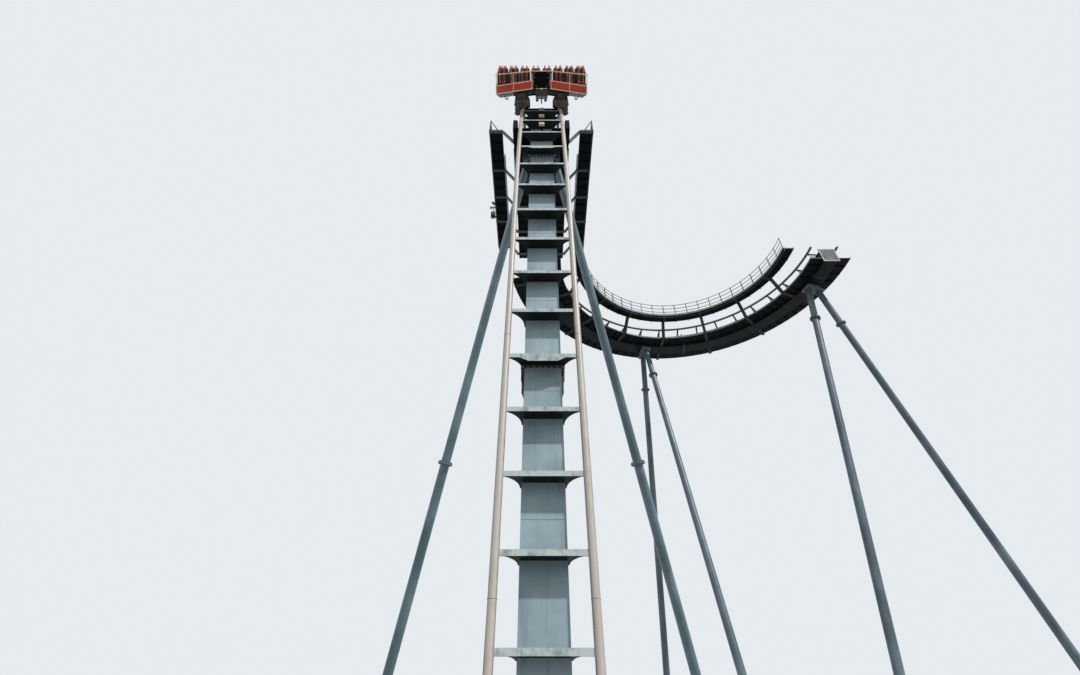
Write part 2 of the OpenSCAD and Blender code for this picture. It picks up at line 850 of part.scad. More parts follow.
pan_len = 430;
pan_t = 100;
back_t = 90;
back_len = 820;
recline = 10;
pivot_r = 30;

// Height of the floor's top at a distance x from the middle
function floor_u(x) = x < centre_w ? floor_mid_u
    : floor_mid_u - (x - centre_w) / (half_car - centre_w) * (floor_mid_u - floor_side_u);

module in_car() {
    on_crest(car_slope) children();
}

// A profile drawn as (forward, up), as wide as w across the car
module side_profile(w) {
    rotate([90, 0, -90]) linear_extrude(w, center = true) children();
}

// A profile drawn as (across, up), its front at y and its thickness t
module front_profile(y, t) {
    translate([0, y + t, 0]) rotate([90, 0, 0]) linear_extrude(t) children();
}

// Band between two heights above the floor's top, out to a distance end from the middle
module floor_band(low, high, end = half_car) {
    polygon([
        [-end, floor_u(end) + low], [-centre_w, floor_mid_u + low], [centre_w, floor_mid_u + low],
        [end, floor_u(end) + low], [end, floor_u(end) + high], [centre_w, floor_mid_u + high],
        [-centre_w, floor_mid_u + high], [-end, floor_u(end) + high]
    ]);
}

module car_floor() {
    color("#2a2322") in_car() front_profile(car_front + panel_t, car_back - car_front - panel_t)
        floor_band(-floor_t, 0, half_car - end_t);
}

module car_chassis() {
    keel_w = 320;
    keel_top = floor_mid_u - floor_t - seat_gap;
    drum_d = 480;
    drum_top = 720;
    drum_base = carrier_top + carrier_lid + seat_gap;
    color("#2b211c") {
        in_car() {
            translate([-keel_w / 2, car_front + 90, keel_low])
                cube([keel_w, car_back - car_front - 180, keel_top - keel_low]);
            for (y = [car_front + 80, car_back - 500]) translate([-280, y, keel_low - 20])
                cube([560, 420, keel_top - keel_low]);
            for (y = [-axle_reach, axle_reach]) front_profile(y - 90, 180)
                floor_band(-floor_t - 150, -floor_t - seat_gap, half_car - 800);
        }
        for (a = [-axle_angle, axle_angle]) on_crest(car_slope + a) both_sides()
            translate([half_gauge - 20, 0, drum_base]) cylinder(d = drum_d, h = drum_top - drum_base);
    }
}

// Plates of the brakes hung under both ends of the keel, and a fin between them
module brake_fins() {
    color("#4f6179") in_car() for (y = [car_front + 110, car_back - 170]) {
        for (x = [-210, 210]) translate([x - 65, y, keel_low - 140]) cube([130, 60, 120 - seat_gap]);
        translate([-30, y, keel_low - 240]) cube([60, 60, 220 - seat_gap]);
    }
}

// Carrier of one wheel group, outside a rail, with the bracket of its guide wheel
module carrier() {
    plate_len = 700;
    low_u = upstop_u - upstop_wheel_d / 2 + 20;
    lug = 34;
    cap_t = 26;
    lid_in = 330;
    nose_u = rail_r + 40;
    cheek_x = half_gauge + rail_r + 40;
    translate([carrier_in + carrier_t / 2, 0, 0]) side_profile(carrier_t) polygon([
        [-plate_len / 2, -rail_d], [-plate_len / 2, carrier_top], [plate_len / 2, carrier_top],
        [plate_len / 2, -rail_d], [120, low_u], [-120, low_u]
    ]);
    translate([half_gauge - lid_in, -plate_len / 2, carrier_top])
        cube([carrier_in + carrier_t - half_gauge + lid_in, plate_len, carrier_lid]);
    for (u = [60, -60 - lug]) translate([guide_x - 30, -60, u]) cube([carrier_in - guide_x + 30, 120, lug]);
    for (y = [-plate_len / 2, plate_len / 2 - cap_t]) front_profile(y, cap_t) polygon([
        [half_gauge - lid_in, carrier_top + 1], [half_gauge - lid_in, nose_u + 90], [half_gauge - 160, nose_u],
        [cheek_x, nose_u], [cheek_x, -rail_d + 30], [cheek_x + 40, -rail_d], [carrier_in + 1, -rail_d],
        [carrier_in + 1, carrier_top + 1]
    ]);
}

module wheel_carriers() {
    color("#4a3426") for (a = [-axle_angle, axle_angle]) on_crest(car_slope + a) both_sides() carrier();
}

// Wheel on an axle across the track that reaches the carrier's plate
module cross_wheel(d, w, bore_x) {
    rotate([0, 90, 0]) cylinder(d = d, h = w, center = true);
    rotate([0, 90, 0]) cylinder(d = 60, h = bore_x);
    rotate([0, 90, 0]) cylinder(d = d * 0.45, h = w + 24, center = true);
}

module load_wheels() {
    color("#3b2a20") for (a = [-axle_angle, axle_angle], b = [-tandem_angle, tandem_angle])
        on_crest(car_slope + a + b) both_sides()
            translate([half_gauge, 0, load_u]) cross_wheel(load_wheel_d, 100, carrier_in - half_gauge);
}

module guide_wheels() {
    color("#3b2a20") for (a = [-axle_angle, axle_angle]) on_crest(car_slope + a) both_sides() {
        translate([half_gauge, 0, upstop_u]) cross_wheel(upstop_wheel_d, 80, carrier_in - half_gauge);
        translate([guide_x, 0, 0]) cylinder(d = guide_wheel_d, h = 80, center = true);
        translate([guide_x, 0, 0]) cylinder(d = 50, h = 120, center = true);
    }
}

module front_panels() {
    color("#c8321c") in_car() front_profile(car_front, panel_t) difference() {
        floor_band(0, panel_h);
        translate([-centre_w, 0]) square([2 * centre_w, far]);
    }
}

// Top rail, its posts and the trim strips over and under the panels
module front_barrier() {
    post = 36;
    xs = [centre_w + post, (half_car + centre_w) / 2 + 40, half_car - post];
    color("#d9c9a6") in_car() {
        front_profile(car_front - 24, 24) {
            polygon([
                [-half_car, rail_side_u], [-centre_w, rail_mid_u], [centre_w, rail_mid_u],
                [half_car, rail_side_u], [half_car, rail_side_u + 46], [centre_w, rail_mid_u + 46],
                [-centre_w, rail_mid_u + 46], [-half_car, rail_side_u + 46]
            ]);
            difference() {
                union() {
                    floor_band(-floor_t, -floor_t + 50);
                    floor_band(panel_h - 40, panel_h);
                }
                translate([-centre_w, 0]) square([2 * centre_w, far]);
            }
            both_sides() for (x = xs)
                translate([x - post / 2, floor_u(x) - floor_t + 20])
                    square([post, rail_side_u - floor_u(x) + floor_t + (half_car - x) * 0.03]);
        }
    }
}

module nose_shield() {
    color("#17181a") in_car() front_profile(car_front - 50, 50) polygon([
        [-centre_w + 24, rail_mid_u], [centre_w - 24, rail_mid_u], [centre_w - 24, rail_mid_u - 260],
        [centre_w - 110, floor_mid_u - 20], [110 - centre_w, floor_mid_u - 20],
        [24 - centre_w, rail_mid_u - 260]
    ]);
}

module car_end_guards() {
    low = floor_side_u - floor_t;
    nose = -car_front - panel_t;
    seat_nose = 70 - row_y(0);
    rear_top = floor_side_u + 180;
    color("#b5301c") in_car() both_sides() translate([half_car - end_t / 2, 0, 0]) side_profile(end_t) polygon([
        [-car_back, low], [nose, low], [nose, floor_side_u + panel_h],
        [seat_nose, floor_side_u + panel_h], [seat_nose - panel_h + 180, rear_top], [-car_back, rear_top]
    ]);
}

module car_steps() {
    color("#5b6d86") in_car() both_sides() front_profile(car_front + 100, 70) difference() {
        polygon([[1440, 800], [1800, 800], [1800, 600], [1650, 330], [1560, 330]]);
        translate([0, -floor_t]) floor_band(0, far);
        polygon([[1510, 600], [1740, 600], [1620, 380], [1590, 380]]);
    }
}

// A point of a seat's back: l up along it, n back from its front face, in (forward, up)
function back_point(l, n) =
    [-pan_len - l * sin(recline) - n * cos(recline), l * cos(recline) - n * sin(recline)];

// One moulded seat, drawn from its front edge at the origin, facing forward
module seat(stand_h) {
    shell = 34;
    side_profile(seat_w - 2 * shell) {
        translate([-pan_len - back_t / 2, 0]) square([pan_len + back_t / 2 - 30, pan_t]);
        translate([-30, pan_t / 2]) circle(d = pan_t);
        polygon([back_point(0, 0), back_point(back_len, 0), back_point(back_len, back_t), back_point(0, back_t)]);
        translate(back_point(back_len, back_t / 2)) circle(d = back_t);
        translate([-300, -stand_h]) square([200, stand_h + weld]);
    }
    for (x = [-1, 1]) translate([x * (seat_w - shell) / 2, 0, 0]) side_profile(shell) {
        translate([-pan_len, -20]) square([pan_len - 50, 170]);
        translate([-50, 65]) circle(d = 170);
        polygon([back_point(-20, -90), back_point(620, -90), back_point(620, 110), back_point(-20, 110)]);
        translate(back_point(620, 10)) circle(d = 200);
    }
}

function row_y(row) = -820 + row * row_pitch;
function seat_x(i) = (i - (seat_n - 1) / 2) * seat_pitch;
function seat_u(row) = seat_base_u + row * row_rise;

module seats(row) {
    in_car() difference() {
        for (i = [0:seat_n - 1]) translate([seat_x(i), row_y(row), seat_u(row)])
            seat(seat_u(row) - floor_side_u + 60);
        front_profile(car_front, car_back - car_front + far) floor_band(-far, seat_gap, half_car + far);
    }
}

module front_seats() {
    color("#26282c") seats(0);
}

module rear_seats() {
    color("#26282c") seats(1);
}

// Over-the-shoulder restraint: from its pivot behind the back, over the shoulders and down to a lap bar
module restraint() {
    arm_x = 105;
    arm_w = 70;
    arm_d = 75;
    pivot = back_point(back_len * 0.9, back_t + pivot_r + seat_gap);
    over = back_len + 45;
    bow = [-400, over - 195];
    for (x = [-arm_x, arm_x]) translate([x, 0, 0]) side_profile(arm_w) {
        difference() {
            translate(bow) circle(r = 195 + arm_d);
            translate(bow) circle(r = 195);
            translate([bow[0] - far, -far]) square([far, 3 * far]);
            translate([-far, bow[1] - far]) square([2 * far, far]);
        }
        translate([bow[0] + 195, 190]) square([arm_d, bow[1] - 190]);
        translate([pivot[0] - pivot_r, over]) square([bow[0] - pivot[0] + pivot_r, arm_d]);
        translate([pivot[0] - pivot_r, pivot[1]]) square([pivot_r + 12, over + weld - pivot[1]]);
    }
    side_profile(2 * arm_x + arm_w) {
        translate([bow[0] + 195 + arm_d / 2, 190]) circle(d = 96);
        translate(pivot) circle(r = pivot_r);
    }
}

module restraints(row) {
    in_car() for (i = [0:seat_n - 1])
        translate([seat_x(i), row_y(row), seat_u(row)]) restraint();
}

module front_restraints() {
    color("#c8562a") restraints(0);
}

module rear_restraints() {
    color("#c8562a") restraints(1);
}

drop_foot_plate();
drop_girder_lower();
drop_girder_upper();
bend_girder();
crest_girder();
holding_girder();
turn_girder_entry();
turn_girder_exit();
girder_collars();
drop_rails();
crest_rails();
holding_rails();
turn_rails();
drop_ties();
crest_ties();
holding_ties();
turn_ties();
leg_saddle();
left_leg_upper();
left_leg_lower();
right_leg_upper();
right_leg_lower();
near_frame_inner_leg();
near_frame_outer_leg();
far_frame_inner_leg();
far_frame_outer_leg();
turn_frame_heads();
left_walkway();
right_walkway();
left_railing();
right_railing();
walkway_arms();
turn_walkway();
turn_railing();
turn_walkway_arms();
service_decks();
turn_service_decks();
holding_drive();
service_mast();
crest_side_plates();
track_sensors();
car_chassis();
brake_fins();
wheel_carriers();
load_wheels();
guide_wheels();
car_floor();
front_panels();
front_barrier();
nose_shield();
car_end_guards();
car_steps();
front_seats();
rear_seats();
front_restraints();
rear_restraints();
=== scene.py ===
"""Looks of a vertical-drop ride tower: finishes of its steelwork and car, and the small pieces on them."""

import logging
import math
from collections.abc import Iterable, Sequence
from dataclasses import dataclass, field
from enum import Enum

import bmesh
import bpy
from mathutils import Matrix, Vector


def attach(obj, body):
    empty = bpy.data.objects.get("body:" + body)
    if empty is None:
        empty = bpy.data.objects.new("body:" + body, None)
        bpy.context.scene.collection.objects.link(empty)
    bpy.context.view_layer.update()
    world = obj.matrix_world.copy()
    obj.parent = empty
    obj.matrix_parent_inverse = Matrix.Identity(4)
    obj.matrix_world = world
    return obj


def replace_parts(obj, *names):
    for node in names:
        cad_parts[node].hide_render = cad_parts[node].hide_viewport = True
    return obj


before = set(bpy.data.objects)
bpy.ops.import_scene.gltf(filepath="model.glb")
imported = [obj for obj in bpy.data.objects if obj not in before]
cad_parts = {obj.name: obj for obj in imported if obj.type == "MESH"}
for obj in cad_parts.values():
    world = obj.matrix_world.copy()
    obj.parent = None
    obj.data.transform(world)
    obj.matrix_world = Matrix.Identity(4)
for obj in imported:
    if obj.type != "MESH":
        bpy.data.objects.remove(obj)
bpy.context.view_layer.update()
LOG = logging.getLogger("drop_tower")
Colour = tuple[float, float, float, float]

RUST = "6b4a35"
SETTLED_DUST = "9a9a92"
DECK_DUST = "6e7371"
# Near-black painted shade for faces that look down.
PAINTED_UNDERSIDE_SHADE = "0d1112"
# Near-black painted shade for the openings of the grating.
GRATING_GAP_SHADE = "050606"
RAIL_RUNS = "5c5149"


def tint(code: str) -> Colour:
    """Linear colour of a six-digit sRGB code.

    Args:
        code: Red, green and blue as two hexadecimal digits each.

    Returns:
        The colour as a shader socket takes it.
    """
    parts = [int(code[i:i + 2], 16) / 255 for i in (0, 2, 4)]
    linear = [c / 12.92 if c <= 0.04045 else ((c + 0.055) / 1.055) ** 2.4 for c in parts]
    return (*linear, 1.0)


def turned(axis: str, degrees: float) -> Matrix:
    """Turn about one axis, as a 4x4 matrix."""
    return Matrix.Rotation(math.radians(degrees), 4, axis)


def moved(x: float = 0.0, y: float = 0.0, z: float = 0.0) -> Matrix:
    """Shift, as a 4x4 matrix."""
    return Matrix.Translation((x, y, z))


class Outward(Enum):
    """Which way the outer face of a stretch of track looks."""

    FRONT = "front"
    RADIAL = "radial"
    UP = "up"


@dataclass(frozen=True)
class TrackLine:
    """Line of the track at the rails' centres, with a frame at any place along it.

    In each frame X runs across the track, Y along it and Z out of the rails' plane.
    """

    gauge: float = 1.8
    rail_d: float = 0.165
    drop_slope: float = 87.5
    drop_len: float = 15.214
    bend_r: float = 53.2
    bend_angle: float = 10.5
    crest_r: float = 5.0
    holding_len: float = 6.45
    turn_r: float = 9.7
    girder_w: float = 0.92
    girder_d: float = 1.04
    girder_drop: float = 0.36
    girder_lip: float = 0.03
    collar_w: float = 0.09
    collar_t: float = 0.06
    tie_pitch: float = 1.579
    first_tie: float = 1.326
    splice_ties: tuple[int, int] = (5, 12)
    turn_split: float = 101.0
    frame_angles: tuple[float, float] = (82.0, 165.0)
    arm_pitch: float = 22.5

    @property
    def girder_foot(self) -> float:
        """Depth of the girder's lower side below the rails' centres."""
        return self.girder_drop + self.girder_d

    @property
    def foot_y(self) -> float:
        """Where the rails' line meets the ground, back from the origin."""
        return -(self.girder_drop + self.girder_d / 2) / math.sin(math.radians(self.drop_slope))

    @property
    def drop_top(self) -> Vector:
        """Top of the straight drop, in the plane across the track."""
        slope = math.radians(self.drop_slope)
        return Vector((0, self.foot_y + self.drop_len * math.cos(slope), self.drop_len * math.sin(slope)))

    @property
    def bend_centre(self) -> Vector:
        """Centre of the gentle bend."""
        slope = math.radians(self.drop_slope)
        return self.drop_top + self.bend_r * Vector((0, math.sin(slope), -math.cos(slope)))

    @property
    def crest_slope(self) -> float:
        """Slope where the crest begins, in degrees."""
        return self.drop_slope - self.bend_angle

    @property
    def crest_centre(self) -> Vector:
        """Centre of the crest's arc."""
        slope = math.radians(self.crest_slope)
        outward = Vector((0, -math.sin(slope), math.cos(slope)))
        return self.bend_centre + (self.bend_r - self.crest_r) * outward

    @property
    def rail_z(self) -> float:
        """Height of the level track."""
        return self.crest_centre.z + self.crest_r

    @property
    def turn_y(self) -> float:
        """Where the level turn begins, back from the origin."""
        return self.crest_centre.y + self.holding_len

    @property
    def bend_len(self) -> float:
        """Length of the gentle bend along the rails."""
        return math.radians(self.bend_angle) * self.bend_r

    def drop(self, s: float) -> Matrix:
        """Frame on the drop or the gentle bend.

        Args:
            s: Distance along the rails from the ground.

        Returns:
            The frame's matrix.
        """
        if s <= self.drop_len:
            slope = math.radians(self.drop_slope)
            at = Vector((0, self.foot_y + s * math.cos(slope), s * math.sin(slope)))
            return Matrix.Translation(at) @ turned("X", self.drop_slope)
        slope = self.drop_slope - math.degrees((s - self.drop_len) / self.bend_r)
        return Matrix.Translation(self.bend_centre) @ turned("X", slope) @ moved(z=self.bend_r)

    def crest(self, slope: float) -> Matrix:
        """Frame on the crest where the track has a slope, in degrees."""
        return Matrix.Translation(self.crest_centre) @ turned("X", slope) @ moved(z=self.crest_r)

    def holding(self, s: float) -> Matrix:
        """Frame on the holding track, s past the crest."""
        return moved(y=self.crest_centre.y + s, z=self.rail_z)

    def turn(self, angle: float) -> Matrix:
        """Frame on the level turn, at an angle from its start, in degrees."""
        return moved(self.turn_r, self.turn_y, self.rail_z) @ turned("Z", -angle) @ moved(-self.turn_r)

    def beside(self, side: int, y: float) -> Matrix:
        """Frame on the level track at a distance back from the origin, mirrored so that X points outward."""
        turn = Matrix() if side > 0 else Matrix.Diagonal((-1.0, 1.0, 1.0, 1.0))
        return moved(0, y, self.rail_z) @ turn

    def turn_angles(self, pitch: float, clear: float) -> list[float]:
        """Angles along the turn at a pitch, clear of the walkway's arms by an angle."""
        angles = [pitch * i for i in range(1, int(180 / pitch))]
        return [a for a in angles if min(a % self.arm_pitch, self.arm_pitch - a % self.arm_pitch) > clear]

    def tie_s(self, index: int) -> float:
        """Distance of a tie of the drop from the ground, along the rails."""
        return self.first_tie + index * self.tie_pitch


LINE = TrackLine()


class Graph:
    """Node tree of one finish, laid on Object coordinates, which are metres of the row frame."""

    def __init__(self, name: str) -> None:
        """Makes the material and the nodes that every finish reads."""
        self.material = bpy.data.materials.new(name)
        self.material.use_nodes = True
        self.tree = self.material.node_tree
        self.shader = self.tree.nodes["Principled BSDF"]
        self.place = self.node("ShaderNodeTexCoord").outputs["Object"]
        self.normal = self.node("ShaderNodeNewGeometry").outputs["Normal"]

    def node(self, kind: str, **settings: object) -> bpy.types.Node:
        """Adds a node and sets its options."""
        made = self.tree.nodes.new(kind)
        for key, value in settings.items():
            setattr(made, key, value)
        return made

    def feed(self, target: bpy.types.NodeSocket, value: object) -> None:
        """Gives a socket a link, a number or a colour."""
        if isinstance(value, bpy.types.NodeSocket):
            self.tree.links.new(value, target)
        else:
            target.default_value = value

    def vector(self, operation: str, first: object, second: object) -> bpy.types.NodeSocket:
        """Vector arithmetic; a dot product comes out as a number."""
        made = self.node("ShaderNodeVectorMath", operation=operation)
        self.feed(made.inputs[0], first)
        self.feed(made.inputs[1], second)
        return made.outputs["Value" if operation == "DOT_PRODUCT" else "Vector"]

    def number(self, operation: str, first: object, second: object = 0.0) -> bpy.types.NodeSocket:
        """Arithmetic on numbers, kept from 0 to 1."""
        made = self.node("ShaderNodeMath", operation=operation, use_clamp=True)
        self.feed(made.inputs[0], first)
        self.feed(made.inputs[1], second)
        return made.outputs[0]

    def noise(
        self, scale: float, detail: float = 4.0, stretch: Sequence[float] = (1, 1, 1), rough: float = 0.55
    ) -> bpy.types.NodeSocket:
        """Fractal noise.

        Args:
            scale: Features for each metre, roughly.
            detail: Octaves.
            stretch: How the place is scaled first, so that a small number draws streaks along an axis.
            rough: Weight of the finer octaves.

        Returns:
            A number round 0.5.
        """
        made = self.node("ShaderNodeTexNoise")
        self.feed(made.inputs["Vector"], self.vector("MULTIPLY", self.place, tuple(stretch)))
        made.inputs["Scale"].default_value = scale
        made.inputs["Detail"].default_value = detail
        made.inputs["Roughness"].default_value = rough
        return made.outputs[0]

    def bars(self, pitch: float, across: str, sharp: float = 0.5) -> bpy.types.NodeSocket:
        """Bands at a pitch in metres along an axis, as a number from 0 to 1."""
        made = self.node("ShaderNodeTexWave", bands_direction=across)
        self.feed(made.inputs["Vector"], self.place)
        made.inputs["Scale"].default_value = math.pi / (10 * pitch)
        made.inputs["Distortion"].default_value = 0.0
        return self.between(made.outputs[1], 0.5 - sharp / 2, 0.5 + sharp / 2)

    def between(self, value: object, low: float, high: float) -> bpy.types.NodeSocket:
        """Smooth step from 0 at low to 1 at high."""
        made = self.node("ShaderNodeMapRange", interpolation_type="SMOOTHSTEP")
        self.feed(made.inputs[0], value)
        made.inputs[1].default_value = low
        made.inputs[2].default_value = high
        return made.outputs[0]

    def span(self, value: object, low: float, high: float) -> bpy.types.NodeSocket:
        """Stretches a number from 0 to 1 over a span."""
        made = self.node("ShaderNodeMapRange")
        self.feed(made.inputs[0], value)
        made.inputs[3].default_value = low
        made.inputs[4].default_value = high
        return made.outputs[0]

    def mix(self, factor: object, first: object, second: object) -> bpy.types.NodeSocket:
        """Blend of two colours."""
        made = self.node("ShaderNodeMix", data_type="RGBA")
        self.feed(made.inputs[0], factor)
        self.feed(made.inputs[6], first)
        self.feed(made.inputs[7], second)
        return made.outputs[2]

    def relief(self, heights: Iterable[tuple[bpy.types.NodeSocket, float]]) -> None:
        """Bumps on the shader's normal.

        Args:
            heights: Numbers from 0 to 1 with the height that 1 stands for, in metres.
        """
        below = None
        for height, distance in heights:
            made = self.node("ShaderNodeBump")
            made.inputs["Distance"].default_value = distance
            made.inputs["Strength"].default_value = 1.0
            self.feed(made.inputs["Height"], height)
            if below is not None:
                self.feed(made.inputs["Normal"], below)
            below = made.outputs["Normal"]
        self.feed(self.shader.inputs["Normal"], below)

    def outer_face(self, outward: Outward) -> bpy.types.NodeSocket:
        """How far a face looks outward from the rails' plane, from 0 to 1."""
        if outward is Outward.RADIAL:
            radial = self.vector("SUBTRACT", self.place, tuple(LINE.crest_centre))
            flat = self.vector("MULTIPLY", radial, (0.0, 1.0, 1.0))
            away = self.vector("NORMALIZE", flat, (0.0, 0.0, 0.0))
        else:
            away = (0.0, -1.0, 0.0) if outward is Outward.FRONT else (0.0, 0.0, 1.0)
        return self.between(self.vector("DOT_PRODUCT", self.normal, away), 0.45, 0.75)


@dataclass(frozen=True)
class Finish:
    """A finish with one body colour. Each kind of finish adds its own pattern."""

    name: str
    body: str
    roughness: float = 0.5
    shine: float = field(default=0.5, kw_only=True)

    def paint(self, graph: Graph) -> None:
        """Draws the pattern. The plain finish has a faint drift of its colour."""
        drift = graph.between(graph.noise(3.0), 0.35, 0.65)
        darker = tuple(0.7 * c for c in tint(self.body)[:3]) + (1.0,)
        graph.feed(graph.shader.inputs["Base Color"], graph.mix(drift, tint(self.body), darker))
        graph.relief([(graph.noise(60.0), 0.0006)])

    def make(self) -> bpy.types.Material:
        """Makes the material once, and gives the same one again when it is asked for again."""
        known = bpy.data.materials.get(self.name)
        if known is not None:
            return known
        graph = Graph(self.name)
        graph.shader.inputs["Roughness"].default_value = self.roughness
        graph.shader.inputs["Specular IOR Level"].default_value = self.shine
        self.paint(graph)
        graph.material.diffuse_color = tint(self.body)
        return graph.material


@dataclass(frozen=True)
class SteelCoat(Finish):
    """Weathered paint on plated steel: drift, rain streaks, dust on what faces up, painted shade on what
    faces down and, where given, a paler outer face painted as sunlit.
    """

    shade: str = "2c383a"
    bleach: str = "8d9a9b"
    # Paler colour painted on the faces that look outward, standing for sunlight on them; none if empty.
    outer: str = ""
    outward: Outward = Outward.UP
    streaks: float = 0.5
    dust: float = 0.5
    # Strength of the painted shade on faces that look down.
    under: float = 0.35
    waviness: float = 0.006
    rust: float = 0.0

    def paint(self, graph: Graph) -> None:
        """Draws the weathered coat."""
        drift = graph.between(graph.noise(0.55, 6.0), 0.38, 0.66)
        colour = graph.mix(graph.number("MULTIPLY", drift, 0.55), tint(self.body), tint(self.shade))
        patch = graph.between(graph.noise(0.9, 5.0, (1, 1, 0.4)), 0.5, 0.72)
        colour = graph.mix(graph.number("MULTIPLY", patch, 0.5), colour, tint(self.bleach))
        # Painted light: faces that look outward take the paler outer colour, as if sunlit.
        if self.outer:
            colour = graph.mix(graph.outer_face(self.outward), colour, self.sunlit_outer_colour(graph))
        runs = graph.between(graph.noise(1.0, 6.0, (9, 9, 0.45), 0.65), 0.5, 0.75)
        colour = graph.mix(graph.number("MULTIPLY", runs, self.streaks), colour, tint(self.shade))
        if self.rust:
            spots = graph.between(graph.noise(2.2, 9.0, (1, 1, 0.5), 0.7), 0.62, 0.72)
            colour = graph.mix(graph.number("MULTIPLY", spots, self.rust), colour, tint(RUST))
        up = graph.vector("DOT_PRODUCT", graph.normal, (0.0, 0.0, 1.0))
        settled = graph.number("MULTIPLY", graph.between(up, 0.35, 0.95), graph.noise(2.5, 6.0))
        colour = graph.mix(graph.number("MULTIPLY", settled, self.dust), colour, tint(SETTLED_DUST))
        # Painted shade: faces that look down are darkened towards near-black, as if in shadow.
        down = graph.between(graph.vector("DOT_PRODUCT", graph.normal, (0.0, 0.0, -1.0)), 0.3, 0.95)
        colour = graph.mix(graph.number("MULTIPLY", down, self.under), colour, tint(PAINTED_UNDERSIDE_SHADE))
        graph.feed(graph.shader.inputs["Base Color"], colour)
        gloss = graph.span(graph.noise(1.7, 6.0), self.roughness - 0.14, self.roughness + 0.16)
        graph.feed(graph.shader.inputs["Roughness"], gloss)
        graph.relief([(graph.noise(1.3, 2.0), self.waviness), (graph.noise(90.0, 3.0), 0.0006)])

    def sunlit_outer_colour(self, graph: Graph) -> bpy.types.NodeSocket:
        """Painted sunlit colour of the outer face, with its own wear."""
        wear = graph.between(graph.noise(4.0, 7.0, (1, 1, 1), 0.65), 0.45, 0.7)
        return graph.mix(graph.number("MULTIPLY", wear, 0.6), tint(self.outer), tint(self.bleach))


@dataclass(frozen=True)
class RailCoat(Finish):
    """Paint of a running rail: pale where the wheels run, brown with dirt on the sides they miss."""

    stain: str = "7b6353"
    polish: str = "d6cfc4"
    outward: Outward = Outward.FRONT
    soiling: float = 0.75

    def paint(self, graph: Graph) -> None:
        """Draws the running strip, the stain and fine scratches along the rail."""
        blotch = graph.between(graph.noise(2.6, 8.0, (1, 1, 0.5), 0.65), 0.42, 0.66)
        colour = graph.mix(graph.number("MULTIPLY", blotch, self.soiling), tint(self.body), tint(self.stain))
        runs = graph.between(graph.noise(1.0, 6.0, (22, 22, 0.8), 0.6), 0.48, 0.72)
        colour = graph.mix(graph.number("MULTIPLY", runs, 0.55), colour, tint(RAIL_RUNS))
        face = graph.outer_face(self.outward)
        lane = graph.number("MULTIPLY", face, graph.span(graph.noise(3.0), 0.45, 1.0))
        colour = graph.mix(lane, colour, tint(self.polish))
        graph.feed(graph.shader.inputs["Base Color"], colour)
        gloss = graph.span(graph.noise(6.0), self.roughness - 0.1, self.roughness + 0.2)
        graph.feed(graph.shader.inputs["Roughness"], gloss)
        graph.relief([(graph.noise(70.0, 3.0), 0.0005)])


@dataclass(frozen=True)
class DeckCoat(Finish):
    """Grated deck: dark bars at a close pitch with painted shade in the openings, dust on top, upright faces
    painted paler as if lit, with dirt, and, on some, a pale beam along it.
    """

    beam: str = ""
    beam_edge: float = 2.149
    grime: str = "231d19"
    # Paler colour painted on upright faces, standing for light on them.
    side: str = "98a09b"
    bar_pitch: float = 0.034
    cross_pitch: float = 0.1

    def paint(self, graph: Graph) -> None:
        """Draws the bars and cross rods of the grating with painted shade in the openings, the sides painted
        paler as if lit, and the beam.
        """
        grime = graph.between(graph.noise(0.8, 6.0), 0.4, 0.66)
        colour = graph.mix(grime, tint(self.body), tint(self.grime))
        rods = graph.bars(self.cross_pitch, "Y", 0.2)
        bars = graph.number("MAXIMUM", graph.bars(self.bar_pitch, "X"), rods)
        # Painted shade: the openings between bars are darkened towards near-black, as shade seen through
        # them.
        shaded_gaps = graph.number("SUBTRACT", 1.0, bars)
        colour = graph.mix(graph.number("MULTIPLY", shaded_gaps, 0.7), colour, tint(GRATING_GAP_SHADE))
        up = graph.between(graph.vector("DOT_PRODUCT", graph.normal, (0.0, 0.0, 1.0)), 0.5, 0.95)
        dusty = graph.number("MULTIPLY", graph.number("MULTIPLY", up, bars), 0.55)
        colour = graph.mix(dusty, colour, tint(DECK_DUST))
        # Painted light: faces that stand upright take a paler steel colour, as if lit, with real dirt mixed
        # in.
        across = graph.number("ABSOLUTE", graph.vector("DOT_PRODUCT", graph.normal, (0.0, 0.0, 1.0)))
        upright = graph.number("SUBTRACT", 1.0, graph.between(across, 0.3, 0.6))
        dirt = graph.number("MULTIPLY", graph.between(graph.noise(5.0, 8.0), 0.4, 0.66), 0.45)
        lit_side_and_dirt = graph.mix(dirt, tint(self.side), tint(self.grime))
        colour = graph.mix(upright, colour, lit_side_and_dirt)
        if self.beam:
            pale = graph.mix(dirt, tint(self.beam), tint(self.side))
            colour = graph.mix(self.past_beam(graph), pale, colour)
        graph.feed(graph.shader.inputs["Base Color"], colour)
        graph.relief([(bars, 0.004), (graph.noise(40.0), 0.0008)])

    def past_beam(self, graph: Graph) -> bpy.types.NodeSocket:
        """Is 0 from the track's middle out to the beam's edge and 1 past it.

        The distance is scaled down first, because numbers are kept from 0 to 1.
        """
        scale = 0.25
        reach = graph.number("ABSOLUTE", graph.vector("DOT_PRODUCT", graph.place, (scale, 0.0, 0.0)))
        return graph.between(reach, scale * self.beam_edge - 0.0002, scale * self.beam_edge)


